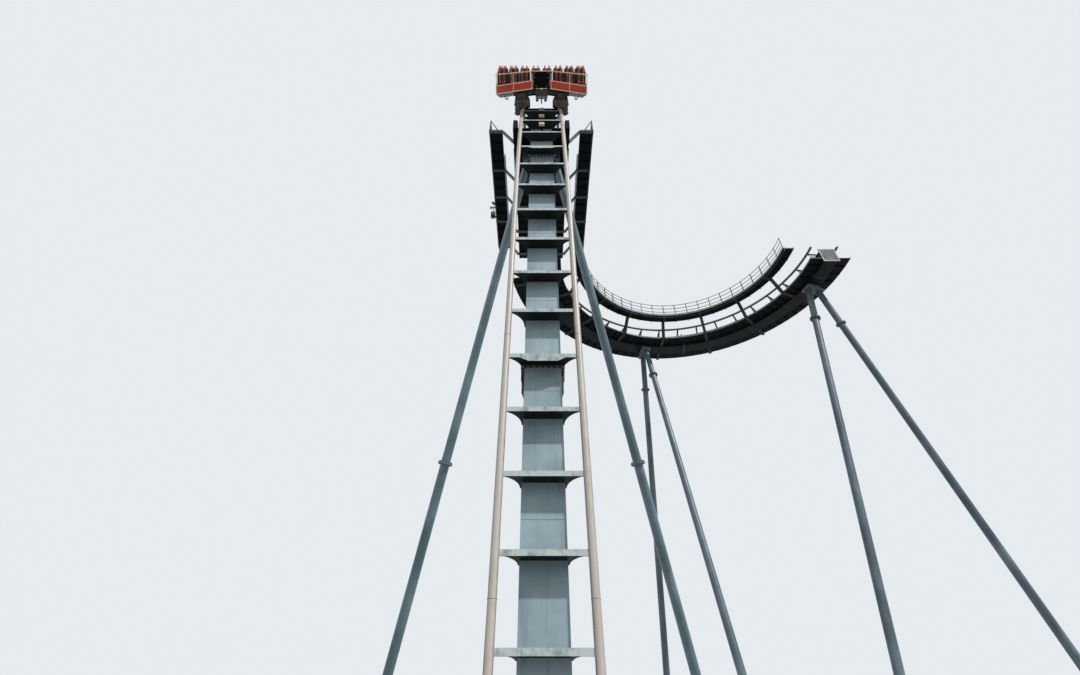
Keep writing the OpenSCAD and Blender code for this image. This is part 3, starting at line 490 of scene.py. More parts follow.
@dataclass(frozen=True)
class GlossCoat(Finish):
    """Glossy coach paint of the car, with patches of road film and small chips."""

    film: str = "4a1a12"
    chips: str = "3a3634"
    chipping: float = 0.4
    clear: float = 0.6

    def paint(self, graph: Graph) -> None:
        """Draws the film, the chips and a faint orange peel."""
        haze = graph.between(graph.noise(1.6, 6.0), 0.42, 0.7)
        colour = graph.mix(graph.number("MULTIPLY", haze, 0.35), tint(self.body), tint(self.film))
        nicks = graph.between(graph.noise(26.0, 7.0, (1, 1, 1), 0.7), 0.66, 0.7)
        colour = graph.mix(graph.number("MULTIPLY", nicks, self.chipping), colour, tint(self.chips))
        graph.feed(graph.shader.inputs["Base Color"], colour)
        graph.shader.inputs["Coat Weight"].default_value = self.clear
        graph.shader.inputs["Coat Roughness"].default_value = 0.12
        gloss = graph.span(graph.noise(5.0), self.roughness - 0.08, self.roughness + 0.14)
        graph.feed(graph.shader.inputs["Roughness"], gloss)
        graph.relief([(graph.noise(35.0, 2.0), 0.0006)])


@dataclass(frozen=True)
class GreasySteel(Finish):
    """Machinery under the car: brown-black paint, thick grease and rubbed bare patches."""

    grease: str = "14100d"
    rubbed: str = "6d5a48"
    lumps: float = 0.002
    tread: float = 0.0

    def paint(self, graph: Graph) -> None:
        """Draws the grease and the rubbed patches."""
        thick = graph.between(graph.noise(5.0, 8.0, (1, 1, 1), 0.65), 0.42, 0.6)
        colour = graph.mix(thick, tint(self.body), tint(self.grease))
        bare = graph.between(graph.noise(9.0, 8.0, (1, 1, 1), 0.7), 0.6, 0.72)
        colour = graph.mix(graph.number("MULTIPLY", bare, 0.75), colour, tint(self.rubbed))
        graph.feed(graph.shader.inputs["Base Color"], colour)
        gloss = graph.span(thick, self.roughness + 0.1, self.roughness - 0.15)
        graph.feed(graph.shader.inputs["Roughness"], gloss)
        heights = [(graph.noise(24.0, 5.0), self.lumps)]
        if self.tread:
            across, along = (graph.bars(self.tread, axis, 0.6) for axis in "XY")
            heights.append((graph.number("MULTIPLY", across, along), 0.003))
        graph.relief(heights)


@dataclass(frozen=True)
class Moulding(Finish):
    """Moulded plastic or cast tyre with a pebbled skin and scuffs."""

    scuff: str = "55585c"
    grain: float = 240.0
    grain_depth: float = 0.0007
    sheen: float = 0.0

    def paint(self, graph: Graph) -> None:
        """Draws the pebble and the scuffs."""
        rubbed = graph.between(graph.noise(7.0, 8.0, (1, 1, 1), 0.7), 0.55, 0.75)
        colour = graph.mix(graph.number("MULTIPLY", rubbed, 0.45), tint(self.body), tint(self.scuff))
        graph.feed(graph.shader.inputs["Base Color"], colour)
        graph.shader.inputs["Sheen Weight"].default_value = self.sheen
        cells = graph.node("ShaderNodeTexVoronoi", feature="SMOOTH_F1")
        graph.feed(cells.inputs["Vector"], graph.place)
        cells.inputs["Scale"].default_value = self.grain
        graph.relief([(cells.outputs["Distance"], self.grain_depth), (graph.noise(18.0), 0.0012)])


@dataclass(frozen=True)
class Zinc(Finish):
    """Galvanised steel: spangle of bright and dull flakes, and white bloom in patches."""

    bloom: str = "a3abac"

    def paint(self, graph: Graph) -> None:
        """Draws the spangle and the bloom."""
        spangle = graph.node("ShaderNodeTexVoronoi", feature="F1")
        graph.feed(spangle.inputs["Vector"], graph.place)
        spangle.inputs["Scale"].default_value = 28.0
        flake = graph.between(spangle.outputs["Distance"], 0.1, 0.7)
        dull = tuple(0.55 * c for c in tint(self.body)[:3]) + (1.0,)
        colour = graph.mix(flake, tint(self.body), dull)
        bloom = graph.between(graph.noise(3.0, 7.0), 0.52, 0.72)
        colour = graph.mix(graph.number("MULTIPLY", bloom, 0.5), colour, tint(self.bloom))
        graph.feed(graph.shader.inputs["Base Color"], colour)
        graph.shader.inputs["Metallic"].default_value = 0.35
        graph.relief([(graph.noise(50.0), 0.0005)])


class Slot(Enum):
    """Material slots of the record, one named with each new piece."""

    GIRDER = "girder_paint"
    RAIL = "rail_steel"
    DARK = "dark_paint"
    LEG = "leg_paint"
    HEAD = "head_paint"
    ZINC = "galvanised"
    SENSOR = "sensor_case"
    CAR_FRAME = "car_frame"
    TREAD = "wheel_tread"
    RED = "car_red"
    CREAM = "car_cream"
    BLACK = "car_black"
    STEP = "step_paint"
    SHELL = "seat_shell"
    PAD = "restraint_pad"


GIRDER_COAT = SteelCoat("girder_coat", "9fb3ba", 0.42, shade="64777f", bleach="c0cccc", under=0.8)
# Painted shade: the holding and turn girder is given near-black, the look of its shaded underside, while the
# drop girder has a pale coat.
SHADED_GIRDER_COAT = SteelCoat(
    "shaded_girder_coat", "181f23", 0.5, shade="0c1012", bleach="2c363a", under=0.8, shine=0.15)
# The ties' near-black bodies are painted shade, and their pale outer colours are painted sunlight on the
# faces that look outward.
TIE_COAT = SteelCoat(
    "tie_coat", "1e282b", 0.5, shade="0d1316", bleach="3c4a4e", outer="bcc5c3", outward=Outward.FRONT,
    under=0.9, dust=0.25, waviness=0.002, shine=0.2)
CREST_TIE_COAT = SteelCoat(
    "crest_tie_coat", "1f2627", 0.5, shade="0e1314", bleach="3f4a4b", outer="b4bcbc", outward=Outward.RADIAL,
    under=0.9, dust=0.25, waviness=0.002, shine=0.2)
LEVEL_TIE_COAT = SteelCoat(
    "level_tie_coat", "232b2c", 0.5, shade="0e1314", bleach="465153", outer="7a8687", outward=Outward.UP,
    under=0.85, waviness=0.002)
COLLAR_COAT = SteelCoat("collar_coat", "2b3537", 0.48, shade="12181a", bleach="4e5b5e", under=0.7, rust=0.3)
LEG_COAT = SteelCoat(
    "leg_coat", "6a8289", 0.26, shade="3a4e54", bleach="96a8ab", under=0.3, waviness=0.001, rust=0.15)
FRAME_LEG_COAT = SteelCoat("frame_leg_coat", "5b6c72", 0.42, shade="303c41", bleach="8497a0", waviness=0.001)
HEAD_COAT = SteelCoat("head_coat", "7b8d96", 0.45, shade="49585f", bleach="a3b1b6", under=0.4)
ARM_COAT = SteelCoat("arm_coat", "7d8c90", 0.42, shade="3a4447", bleach="bcc7c7", under=0.75, waviness=0.001)
TURN_ARM_COAT = SteelCoat(
    "turn_arm_coat", "3d484c", 0.45, shade="1a2022", bleach="5c686b", under=0.85, waviness=0.001, shine=0.25)
PLATE_COAT = SteelCoat(
    "side_plate_coat", "0e1113", 0.6, shade="070909", bleach="181d1f", under=0.7, dust=0.2, rust=0.1,
    shine=0.06)
FOOT_COAT = SteelCoat("foot_coat", "3a4446", 0.55, shade="1c2223", bleach="6a7678", rust=0.7, dust=0.8)
DECK_COAT = DeckCoat("deck_coat", "0f1315", 0.66, shine=0.1)
WALKWAY_COAT = DeckCoat("walkway_coat", "0f1315", 0.66, beam="d2dad7", shine=0.1)
RAIL_COATS = {
    Outward.FRONT: RailCoat("drop_rail_coat", "a89d93", 0.4, polish="c6beb3", outward=Outward.FRONT),
    Outward.RADIAL: RailCoat(
        "crest_rail_coat", "aeb2b3", 0.38, "6d7478", outward=Outward.RADIAL, soiling=0.5),
    Outward.UP: RailCoat("level_rail_coat", "7f7f7b", 0.42, "4b4a48", "b9b7b1", outward=Outward.UP),
}
RAILING_COAT = Zinc("railing_zinc", "5c696f", 0.5)
BOLT_COAT = Zinc("bolt_zinc", "8b9090", 0.42)
SENSOR_COAT = Moulding("sensor_shell", "ecc79c", 0.5, scuff="b98f66", grain=90.0)
CAR_RED = GlossCoat("car_red_paint", "e8401f", 0.34, film="7a2411", clear=0.3, shine=0.35)
CAR_CREAM = GlossCoat(
    "car_cream_paint", "fbe6c6", 0.36, film="cfa883", chips="7d6450", chipping=0.4, clear=0.3)
CAR_BLACK = GlossCoat(
    "car_black_paint", "0a0908", 0.5, film="120d0b", chips="3a3633", chipping=0.2, clear=0.0, shine=0.06)
STEP_COAT = GlossCoat("step_blue_paint", "53698a", 0.4, film="2c394d", chips="8a8e92")
FRAME_COAT = GreasySteel("car_frame_grease", "4a3728", 0.5)
FLOOR_COAT = GreasySteel(
    "car_floor_plate", "2c2420", 0.55, grease="181411", rubbed="57504a", lumps=0.0003, tread=0.05)
CARRIER_COAT = GreasySteel("carrier_grease", "5b4029", 0.46, grease="1d150f", rubbed="8a6a4a")
TREAD_COAT = Moulding("polyurethane_tread", "6b4426", 0.55, scuff="2f2118", grain=60.0)
HUB_COAT = GreasySteel("wheel_hub_steel", "6c6760", 0.35, grease="241d17", rubbed="a09a90")
SHELL_COAT = Moulding("seat_shell_plastic", "202226", 0.45, scuff="4b4e53")
PAD_COAT = Moulding("seat_pad_skin", "2b2c30", 0.6, scuff="5b5854", grain=320.0, sheen=0.2)
RESTRAINT_COAT = Moulding("restraint_skin", "cf5a26", 0.5, scuff="7d2e14", grain=300.0, sheen=0.15)
MACHINE_COAT = SteelCoat(
    "machine_coat", "2b3335", 0.45, shade="121617", bleach="5b6668", dust=0.6, waviness=0.001, rust=0.25)
MAST_COAT = SteelCoat("mast_coat", "2c3537", 0.45, shade="14191b", bleach="667274", waviness=0.001)
LENS_COAT = Moulding("sensor_lens", "9c7d55", 0.25, scuff="6a5a48", grain=40.0, grain_depth=0.0001)
STRAP_COAT = Moulding("belt_webbing", "1b1c1f", 0.75, scuff="3a3a3c", grain=420.0, grain_depth=0.0012)


class Workpiece:
    """A joined mesh under way. Shapes are made in place by bmesh operators, or stamped from a unit."""

    def __init__(self, name: str) -> None:
        """Starts an empty mesh."""
        self.name = name
        self.mesh = bmesh.new()

    def block(self, size: Sequence[float], at: Matrix, edge: float = 0.0, segments: int = 1) -> None:
        """Adds a block centred on a frame.

        Args:
            size: Its length along the frame's X, Y and Z.
            at: The frame of its middle.
            edge: Width of its bevelled edges, or 0 for none.
            segments: Segments of the bevel.
        """
        made = bmesh.ops.create_cube(self.mesh, size=1.0, matrix=at @ Matrix.Diagonal((*size, 1.0)))
        if edge:
            edges = {e for v in made["verts"] for e in v.link_edges}
            bmesh.ops.bevel(
                self.mesh, geom=list(edges), offset=edge, offset_type="OFFSET", affect="EDGES",
                segments=segments, profile=0.5, material=-1)

    def rod(
        self, radius: float, length: float, at: Matrix, sides: int = 16, top: float | None = None
    ) -> None:
        """Adds a round or tapered rod from a frame's origin along its Z."""
        bmesh.ops.create_cone(
            self.mesh, cap_ends=True, segments=sides, radius1=radius, radius2=radius if top is None else top,
            depth=length, matrix=at @ moved(z=length / 2))

    def rod_between(
        self, start: Sequence[float], end: Sequence[float], radius: float, sides: int = 12
    ) -> None:
        """Adds a round rod from one point to another."""
        way = Vector(end) - Vector(start)
        turn = way.to_track_quat("Z", "Y").to_matrix().to_4x4()
        self.rod(radius, way.length, Matrix.Translation(start) @ turn, sides)

    def ring(self, radius: float, bead: float, at: Matrix, steps: int = 28, sides: int = 6) -> None:
        """Adds a ring round a frame's Z."""
        made = bmesh.ops.create_circle(
            self.mesh, cap_ends=False, segments=sides, radius=bead,
            matrix=at @ moved(radius) @ turned("X", 90))
        edges = list({e for v in made["verts"] for e in v.link_edges})
        bmesh.ops.spin(
            self.mesh, geom=made["verts"] + edges, cent=at.translation, axis=at.col[2].to_3d(),
            angle=2 * math.pi, steps=steps, use_merge=True)

    def turned_shape(self, outline: Sequence[tuple[float, float]], at: Matrix, steps: int = 32) -> None:
        """Adds a shape turned round a frame's Z.

        Args:
            outline: Points of (radius, height), from one pole to the other.
            at: The frame.
            steps: Faces round the axis.
        """
        verts = [self.mesh.verts.new(at @ Vector((r, 0, z))) for r, z in outline]
        edges = [self.mesh.edges.new(pair) for pair in zip(verts, verts[1:])]
        bmesh.ops.spin(
            self.mesh, geom=verts + edges, cent=at.translation, axis=at.col[2].to_3d(),
            angle=2 * math.pi, steps=steps, use_merge=True)

    def plate(self, outline: Sequence[tuple[float, float]], thickness: float, at: Matrix) -> None:
        """Adds a flat plate from an outline in a frame's XY, as thick as given along its Z."""
        face = self.mesh.faces.new([self.mesh.verts.new(at @ Vector((x, y, 0))) for x, y in outline])
        made = bmesh.ops.extrude_face_region(self.mesh, geom=[face])
        verts = [g for g in made["geom"] if isinstance(g, bmesh.types.BMVert)]
        bmesh.ops.translate(self.mesh, verts=verts, vec=at.col[2].to_3d() * thickness)

    def swept_bar(
        self, outline: Sequence[tuple[float, float]], angle0: float, angle1: float, steps: int
    ) -> None:
        """Adds a bar that follows the level turn.

        Args:
            outline: Its section, as (across, up) in the track's frame.
            angle0: Where it starts, in degrees.
            angle1: Where it ends.
            steps: Faces along it.
        """
        at = LINE.turn(angle0) @ turned("X", 90)
        face = self.mesh.faces.new([self.mesh.verts.new(at @ Vector((x, z, 0))) for x, z in outline])
        centre = Vector((LINE.turn_r, LINE.turn_y, LINE.rail_z))
        bmesh.ops.spin(
            self.mesh, geom=[face], cent=centre, axis=(0, 0, 1), angle=-math.radians(angle1 - angle0),
            steps=steps, use_merge=False)

    def stamp(self, unit: bpy.types.Mesh, places: Iterable[Matrix]) -> None:
        """Adds a copy of a unit mesh at each place."""
        for at in places:
            copy = unit.copy()
            copy.transform(at)
            self.mesh.from_mesh(copy)
            bpy.data.meshes.remove(copy)

    def as_unit(self) -> bpy.types.Mesh:
        """Ends the work with its doubles merged and its faces outward, and gives the mesh back."""
        bmesh.ops.remove_doubles(self.mesh, verts=self.mesh.verts, dist=1e-5)
        bmesh.ops.recalc_face_normals(self.mesh, faces=self.mesh.faces)
        made = bpy.data.meshes.new(self.name)
        self.mesh.to_mesh(made)
        self.mesh.free()
        return made

    def done(
        self, finish: Finish, slot: Slot, body: str = "structure", smooth: float = 35.0
    ) -> bpy.types.Object:
        """Ends the work as a finished piece.

        Args:
            finish: Its finish.
            slot: The record's slot for that finish; not used.
            body: The CAD body it rides on.
            smooth: Angle in degrees under which faces are shaded smooth.

        Returns:
            The piece.
        """
        bmesh.ops.remove_doubles(self.mesh, verts=self.mesh.verts, dist=1e-5)
        bmesh.ops.recalc_face_normals(self.mesh, faces=self.mesh.faces)
        limit = math.radians(smooth)
        for face in self.mesh.faces:
            face.smooth = True
        for edge in self.mesh.edges:
            edge.smooth = edge.calc_face_angle(0.0) < limit
        data = bpy.data.meshes.new(self.name)
        self.mesh.to_mesh(data)
        self.mesh.free()
        piece = bpy.data.objects.new(self.name, data)
        bpy.context.scene.collection.objects.link(piece)
        data.materials.append(finish.make())
        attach(piece, body)
        LOG.info("%s: %d faces", self.name, len(data.polygons))
        return piece


def merged_copy(node: str, limit: float = 1.0) -> Workpiece:
    """Copy of a CAD node's mesh with its doubles merged and its flat faces made whole.

    Args:
        node: The CAD node.
        limit: Angle in degrees under which neighbouring faces become one.

    Returns:
        The copy, as a workpiece with no name of its own yet.
    """
    work = Workpiece(node)
    work.mesh.from_mesh(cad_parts[node].data)
    bmesh.ops.remove_doubles(work.mesh, verts=work.mesh.verts, dist=2e-5)
    bmesh.ops.dissolve_limit(
        work.mesh, angle_limit=math.radians(limit), verts=work.mesh.verts, edges=work.mesh.edges,
        use_dissolve_boundaries=False)
    return work


def rounded(
    node: str, name: str, finish: Finish, slot: Slot, body: str, width: float, segments: int = 2
) -> bpy.types.Object:
    """Stands a copy of a CAD node in its place, with its sharp edges rounded off.

    Args:
        node: The CAD node.
        name: Name of the new piece.
        finish: Its finish.
        slot: The record's slot.
        body: The CAD body.
        width: Width of the rounding, in metres.
        segments: Segments of the rounding.

    Returns:
        The piece.
    """
    work = merged_copy(node)
    work.name = name
    piece = work.done(finish, slot, body)
    bevel = piece.modifiers.new("rounded_edges", "BEVEL")
    bevel.width = width
    bevel.segments = segments
    bevel.limit_method = "ANGLE"
    bevel.angle_limit = math.radians(30)
    bevel.use_clamp_overlap = True
    bevel.harden_normals = True
    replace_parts(piece, node)
    return piece


def hex_bolt(across: float, height: float, stud: float = 0.0) -> bpy.types.Mesh:
    """Unit bolt head on its washer, standing on the XY plane, with a stud through it if asked for."""
    work = Workpiece("bolt_unit")
    work.rod(across * 0.95, height * 0.22, Matrix(), 12)
    work.rod(across * 0.577, height * 0.78, moved(z=height * 0.22), 6, across * 0.56)
    if stud:
        work.rod(across * 0.3, stud, moved(z=height), 8)
    return work.as_unit()


@dataclass
class Coats:
    """Gives every CAD node its finish, also those that a rounded copy stands for."""

    table: dict[Finish, tuple[str, ...]] = field(default_factory=lambda: {
        GIRDER_COAT: ("drop_girder_lower", "drop_girder_upper", "bend_girder", "crest_girder"),
        SHADED_GIRDER_COAT: ("holding_girder", "turn_girder_entry", "turn_girder_exit"),
        COLLAR_COAT: ("girder_collars", "leg_saddle"),
        RAIL_COATS[Outward.FRONT]: ("drop_rails",),
        RAIL_COATS[Outward.RADIAL]: ("crest_rails",),
        RAIL_COATS[Outward.UP]: ("holding_rails", "turn_rails"),
        TIE_COAT: ("drop_ties",),
        CREST_TIE_COAT: ("crest_ties",),
        LEVEL_TIE_COAT: ("holding_ties", "turn_ties"),
        LEG_COAT: ("left_leg_upper", "left_leg_lower", "right_leg_upper", "right_leg_lower"),
        FRAME_LEG_COAT: (
            "near_frame_inner_leg", "near_frame_outer_leg", "far_frame_inner_leg", "far_frame_outer_leg"),
        HEAD_COAT: ("turn_frame_heads",),
        FOOT_COAT: ("drop_foot_plate",),
        WALKWAY_COAT: ("left_walkway", "right_walkway"),
        DECK_COAT: ("turn_walkway", "service_decks", "turn_service_decks"),
        RAILING_COAT: ("left_railing", "right_railing", "turn_railing"),
        ARM_COAT: ("walkway_arms",),
        TURN_ARM_COAT: ("turn_walkway_arms",),
        PLATE_COAT: ("crest_side_plates",),
        SENSOR_COAT: ("track_sensors",),
        FRAME_COAT: ("car_chassis",),
        CARRIER_COAT: ("wheel_carriers",),
        TREAD_COAT: ("load_wheels", "guide_wheels"),
        FLOOR_COAT: ("car_floor",),
        MACHINE_COAT: ("holding_drive",),
        MAST_COAT: ("service_mast",),
        CAR_RED: ("front_panels", "car_end_guards"),
        CAR_CREAM: ("front_barrier",),
        CAR_BLACK: ("nose_shield",),
        STEP_COAT: ("car_steps", "brake_fins"),
        SHELL_COAT: ("front_seats", "rear_seats"),
        RESTRAINT_COAT: ("front_restraints", "rear_restraints"),
    })

    def dress(self) -> None:
        """Assigns the finishes to the nodes' material slots."""
        for finish, nodes in self.table.items():
            for node in nodes:
                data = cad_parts[node].data
                if not data.materials:
                    data.materials.append(finish.make())
                for index in range(len(data.materials)):
                    data.materials[index] = finish.make()
        dressed = {n for nodes in self.table.values() for n in nodes}
        missed = sorted(set(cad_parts) - dressed)
        LOG.info("finishes on %d nodes, none on %s", len(dressed), missed)


@dataclass
class GirderFittings:
    """Bolts of the girder's joints and the weld seams round it."""

    bolt_across: float = 0.046
    bolt_height: float = 0.03
    bolt_pitch: float = 0.135
    tie_gap: float = 0.02
    tie_foot: float = -0.66
    seam_w: float = 0.016
    seam_h: float = 0.005
    seam_edge: float = 0.003
    seam_ends: float = 0.09
    drop_seams: tuple[float, ...] = (5.27, 8.43, 11.59, 14.75, 17.9, 19.45, 22.64)
    crest_seams: tuple[float, ...] = (67.0, 49.0, 31.0, 13.0)
    holding_seams: tuple[float, ...] = (1.6, 4.84)
    turn_seams: tuple[float, ...] = (19.0, 38.0, 57.0, 75.8, 94.7, 113.7, 132.6, 151.6, 170.5)

    def bolt_points(self, high: float) -> list[tuple[float, float]]:
        """Bolt places round a collar, as (across, up) in its frame.

        Args:
            high: Highest place up from the rails' plane at which a bolt has room.

        Returns:
            The places.
        """
        mid = LINE.collar_w / 2
        half = LINE.girder_w / 2 + mid
        top = -LINE.girder_drop + mid
        base = -LINE.girder_foot - mid
        across = round(2 * half / self.bolt_pitch)
        down = round((top - base) / self.bolt_pitch)
        points = [(-half + 2 * half * i / across, z) for i in range(across + 1) for z in (top, base)]
        points += [(x, base + (top - base) * i / down) for i in range(1, down) for x in (-half, half)]
        return [p for p in points if p[1] <= high]

    def joints(self) -> list[tuple[Matrix, bool]]:
        """Frames of the bolted joints, and whether a tie stands close above one."""
        shift = LINE.collar_t / 2 + self.tie_gap
        drop = [(LINE.drop(LINE.tie_s(i) - shift), True) for i in LINE.splice_ties]
        level = [LINE.holding(0), LINE.holding(LINE.holding_len), LINE.turn(LINE.turn_split)]
        return drop + [(at, False) for at in level]

    def build(self) -> None:
        """Makes the bolts and the seams."""
        bolts = Workpiece("girder_joint_bolts")
        unit = hex_bolt(self.bolt_across, self.bolt_height)
        face = LINE.collar_t / 2
        for at, tie_above in self.joints():
            for side, tilt in ((face, -90), (-face, 90)):
                high = self.tie_foot if tie_above and side > 0 else 0.0
                places = [moved(x, side, z) @ turned("X", tilt) for x, z in self.bolt_points(high)]
                bolts.stamp(unit, [at @ place for place in places])
        bolts.done(BOLT_COAT, Slot.ZINC)
        self.seams()

    def seam_frames(self) -> list[Matrix]:
        """Frames of the butt seams along the girder."""
        drop = [LINE.drop(s) for s in self.drop_seams]
        crest = [LINE.crest(slope) for slope in self.crest_seams]
        holding = [LINE.holding(s) for s in self.holding_seams]
        return drop + crest + holding + [LINE.turn(angle) for angle in self.turn_seams]

    def seams(self) -> None:
        """Makes the weld beads round the girder."""
        unit_work = Workpiece("seam_unit")
        middle = -(LINE.girder_drop + LINE.girder_d / 2)
        half_w, half_d = LINE.girder_w / 2, LINE.girder_d / 2
        side = half_w - LINE.girder_lip
        size = (LINE.girder_w, self.seam_w, self.seam_h * 2)
        for z in (middle + half_d, middle - half_d):
            unit_work.block(size, moved(z=z), self.seam_edge)
        size = (self.seam_h * 2, self.seam_w, LINE.girder_d - self.seam_ends)
        for x in (-side, side):
            unit_work.block(size, moved(x, 0, middle), self.seam_edge)
        unit = unit_work.as_unit()
        seams = Workpiece("girder_weld_seams")
        seams.stamp(unit, self.seam_frames())
        seams.done(GIRDER_COAT, Slot.GIRDER)


@dataclass
class RailFittings:
    """Weld rings where lengths of rail meet."""

    bead: float = 0.007
    drop_welds: tuple[float, ...] = (3.7, 9.9, 16.3, 22.6)
    crest_welds: tuple[float, ...] = (48.0, 14.0)
    holding_weld: float = 3.2
    turn_weld: int = 12
    turn_pitch: int = 24

    def build(self) -> None:
        """Makes the weld rings on both rails."""
        places = [LINE.drop(s) for s in self.drop_welds]
        places += [LINE.crest(slope) for slope in self.crest_welds]
        places.append(LINE.holding(self.holding_weld))
        places += [LINE.turn(angle) for angle in range(self.turn_weld, 180, self.turn_pitch)]
        work = Workpiece("rail_weld_rings")
        for at in places:
            for x in (-LINE.gauge / 2, LINE.gauge / 2):
                work.ring(LINE.rail_d / 2, self.bead, at @ moved(x) @ turned("X", 90))
        work.done(RAIL_COATS[Outward.FRONT], Slot.RAIL)


@dataclass(frozen=True)
class CarLine:
    """Measures of the car in its own frame: X across, Y back along the track, Z up from the rails."""

    slope: float = 62.0
    front: float = -1.25
    back: float = 1.3
    half: float = 2.1
    shield_half: float = 0.4
    floor_mid: float = 0.84
    floor_side: float = 0.61
    panel_h: float = 0.3
    seats: int = 8
    seat_pitch: float = 0.527
    pan_len: float = 0.43
    pan_t: float = 0.1
    recline: float = 10.0
    back_len: float = 0.82
    back_t: float = 0.09
    row_y: tuple[float, float] = (-0.82, 0.53)
    row_u: tuple[float, float] = (0.885, 1.005)
    axle_half: float = 0.8
    tandem_angle: float = 1.8
    carrier_face: float = 1.235
    load_u: float = 0.233
    upstop_u: float = -0.168
    lid_u: float = 0.473
    carrier_half: float = 0.35

    def at(self, x: float = 0.0, y: float = 0.0, z: float = 0.0) -> Matrix:
        """Frame at a place in the car."""
        return LINE.crest(self.slope) @ moved(x, y, z)

    def axle(self, side: int, tandem: float = 0.0) -> Matrix:
        """Frame of the front (-1) or rear (1) wheel group, or of one of its load axles."""
        angle = math.degrees(math.asin(self.axle_half / LINE.crest_r))
        return LINE.crest(self.slope + side * angle + tandem * self.tandem_angle)

    def floor_u(self, x: float) -> float:
        """Height of the floor's top at a distance from the middle."""
        share = max(0.0, abs(x) - self.shield_half) / (self.half - self.shield_half)
        return self.floor_mid - share * (self.floor_mid - self.floor_side)

    def seat(self, row: int, index: int) -> Matrix:
        """Frame on the front edge of a seat: X across, Y back, Z up."""
        x = (index - (self.seats - 1) / 2) * self.seat_pitch
        return self.at(x, self.row_y[row], self.row_u[row])

    def seat_back(self, row: int, index: int) -> Matrix:
        """Frame on the front of a seat's back: X across, Y up along it, Z forward."""
        return self.seat(row, index) @ moved(y=self.pan_len) @ turned("X", 90 - self.recline)


CAR = CarLine()


@dataclass
class LegDressing:
    """Bolts of the legs' joints, and the weld beads where their tubes meet the joints' rings."""

    leg_d: float = 0.406
    joint_t: float = 0.04
    bolt_ring: float = 0.265
    bolts: int = 16
    bead: float = 0.009
    leg_head_u: float = -1.75
    saddle_slope: float = 23.0
    head_x: float = 0.71
    foot: tuple[float, float] = (7.0, 14.92)
    joint_z: float = 11.7
    frame_head: tuple[float, float] = (0.42, -1.82)
    frame_foot_x: float = 6.0
    frame_joint_z: float = 24.1

    def axis(self, toe: Vector, head: Vector) -> Matrix:
        """Frame on a leg's toe with its Z along the leg."""
        turn = (head - toe).to_track_quat("Z", "Y").to_matrix().to_4x4()
        return Matrix.Translation(toe) @ turn

    def joints(self) -> list[Matrix]:
        """Frames on the legs' bolted joints, with Z along the leg."""
        found = []
        radius = LINE.crest_r + self.leg_head_u
        slope = math.radians(self.saddle_slope)
        saddle = LINE.crest_centre + radius * Vector((0.0, -math.sin(slope), math.cos(slope)))
        for side in (-1, 1):
            head = saddle + Vector((side * self.head_x, 0.0, 0.0))
            toe = Vector((side * self.foot[0], self.foot[1], 0.0))
            found.append(self.axis(toe, head) @ moved(z=(head - toe).length * self.joint_z / head.z))
        for angle in LINE.frame_angles:
            for side in (-1, 1):
                head = Vector((side * self.frame_head[0], 0.0, self.frame_head[1]))
                toe = Vector((side * self.frame_foot_x, 0.0, -LINE.rail_z))
                along = (head - toe).length * self.frame_joint_z / (head.z - toe.z)
                found.append(LINE.turn(angle) @ self.axis(toe, head) @ moved(z=along))
        return found

    def build(self) -> None:
        """Makes the bolts and beads."""
        unit = hex_bolt(0.05, 0.034, 0.02)
        ring = [turned("Z", 360 * i / self.bolts) @ moved(self.bolt_ring) for i in range(self.bolts)]
        bolts, beads = Workpiece("leg_joint_bolts"), Workpiece("leg_weld_beads")
        for at in self.joints():
            for end, tilt in ((1, 0), (-1, 180)):
                face = at @ moved(z=end * self.joint_t) @ turned("X", tilt)
                bolts.stamp(unit, [face @ spot for spot in ring])
                beads.ring(self.leg_d / 2, self.bead, face, 40)
        bolts.done(BOLT_COAT, Slot.ZINC)
        beads.done(LEG_COAT, Slot.LEG)


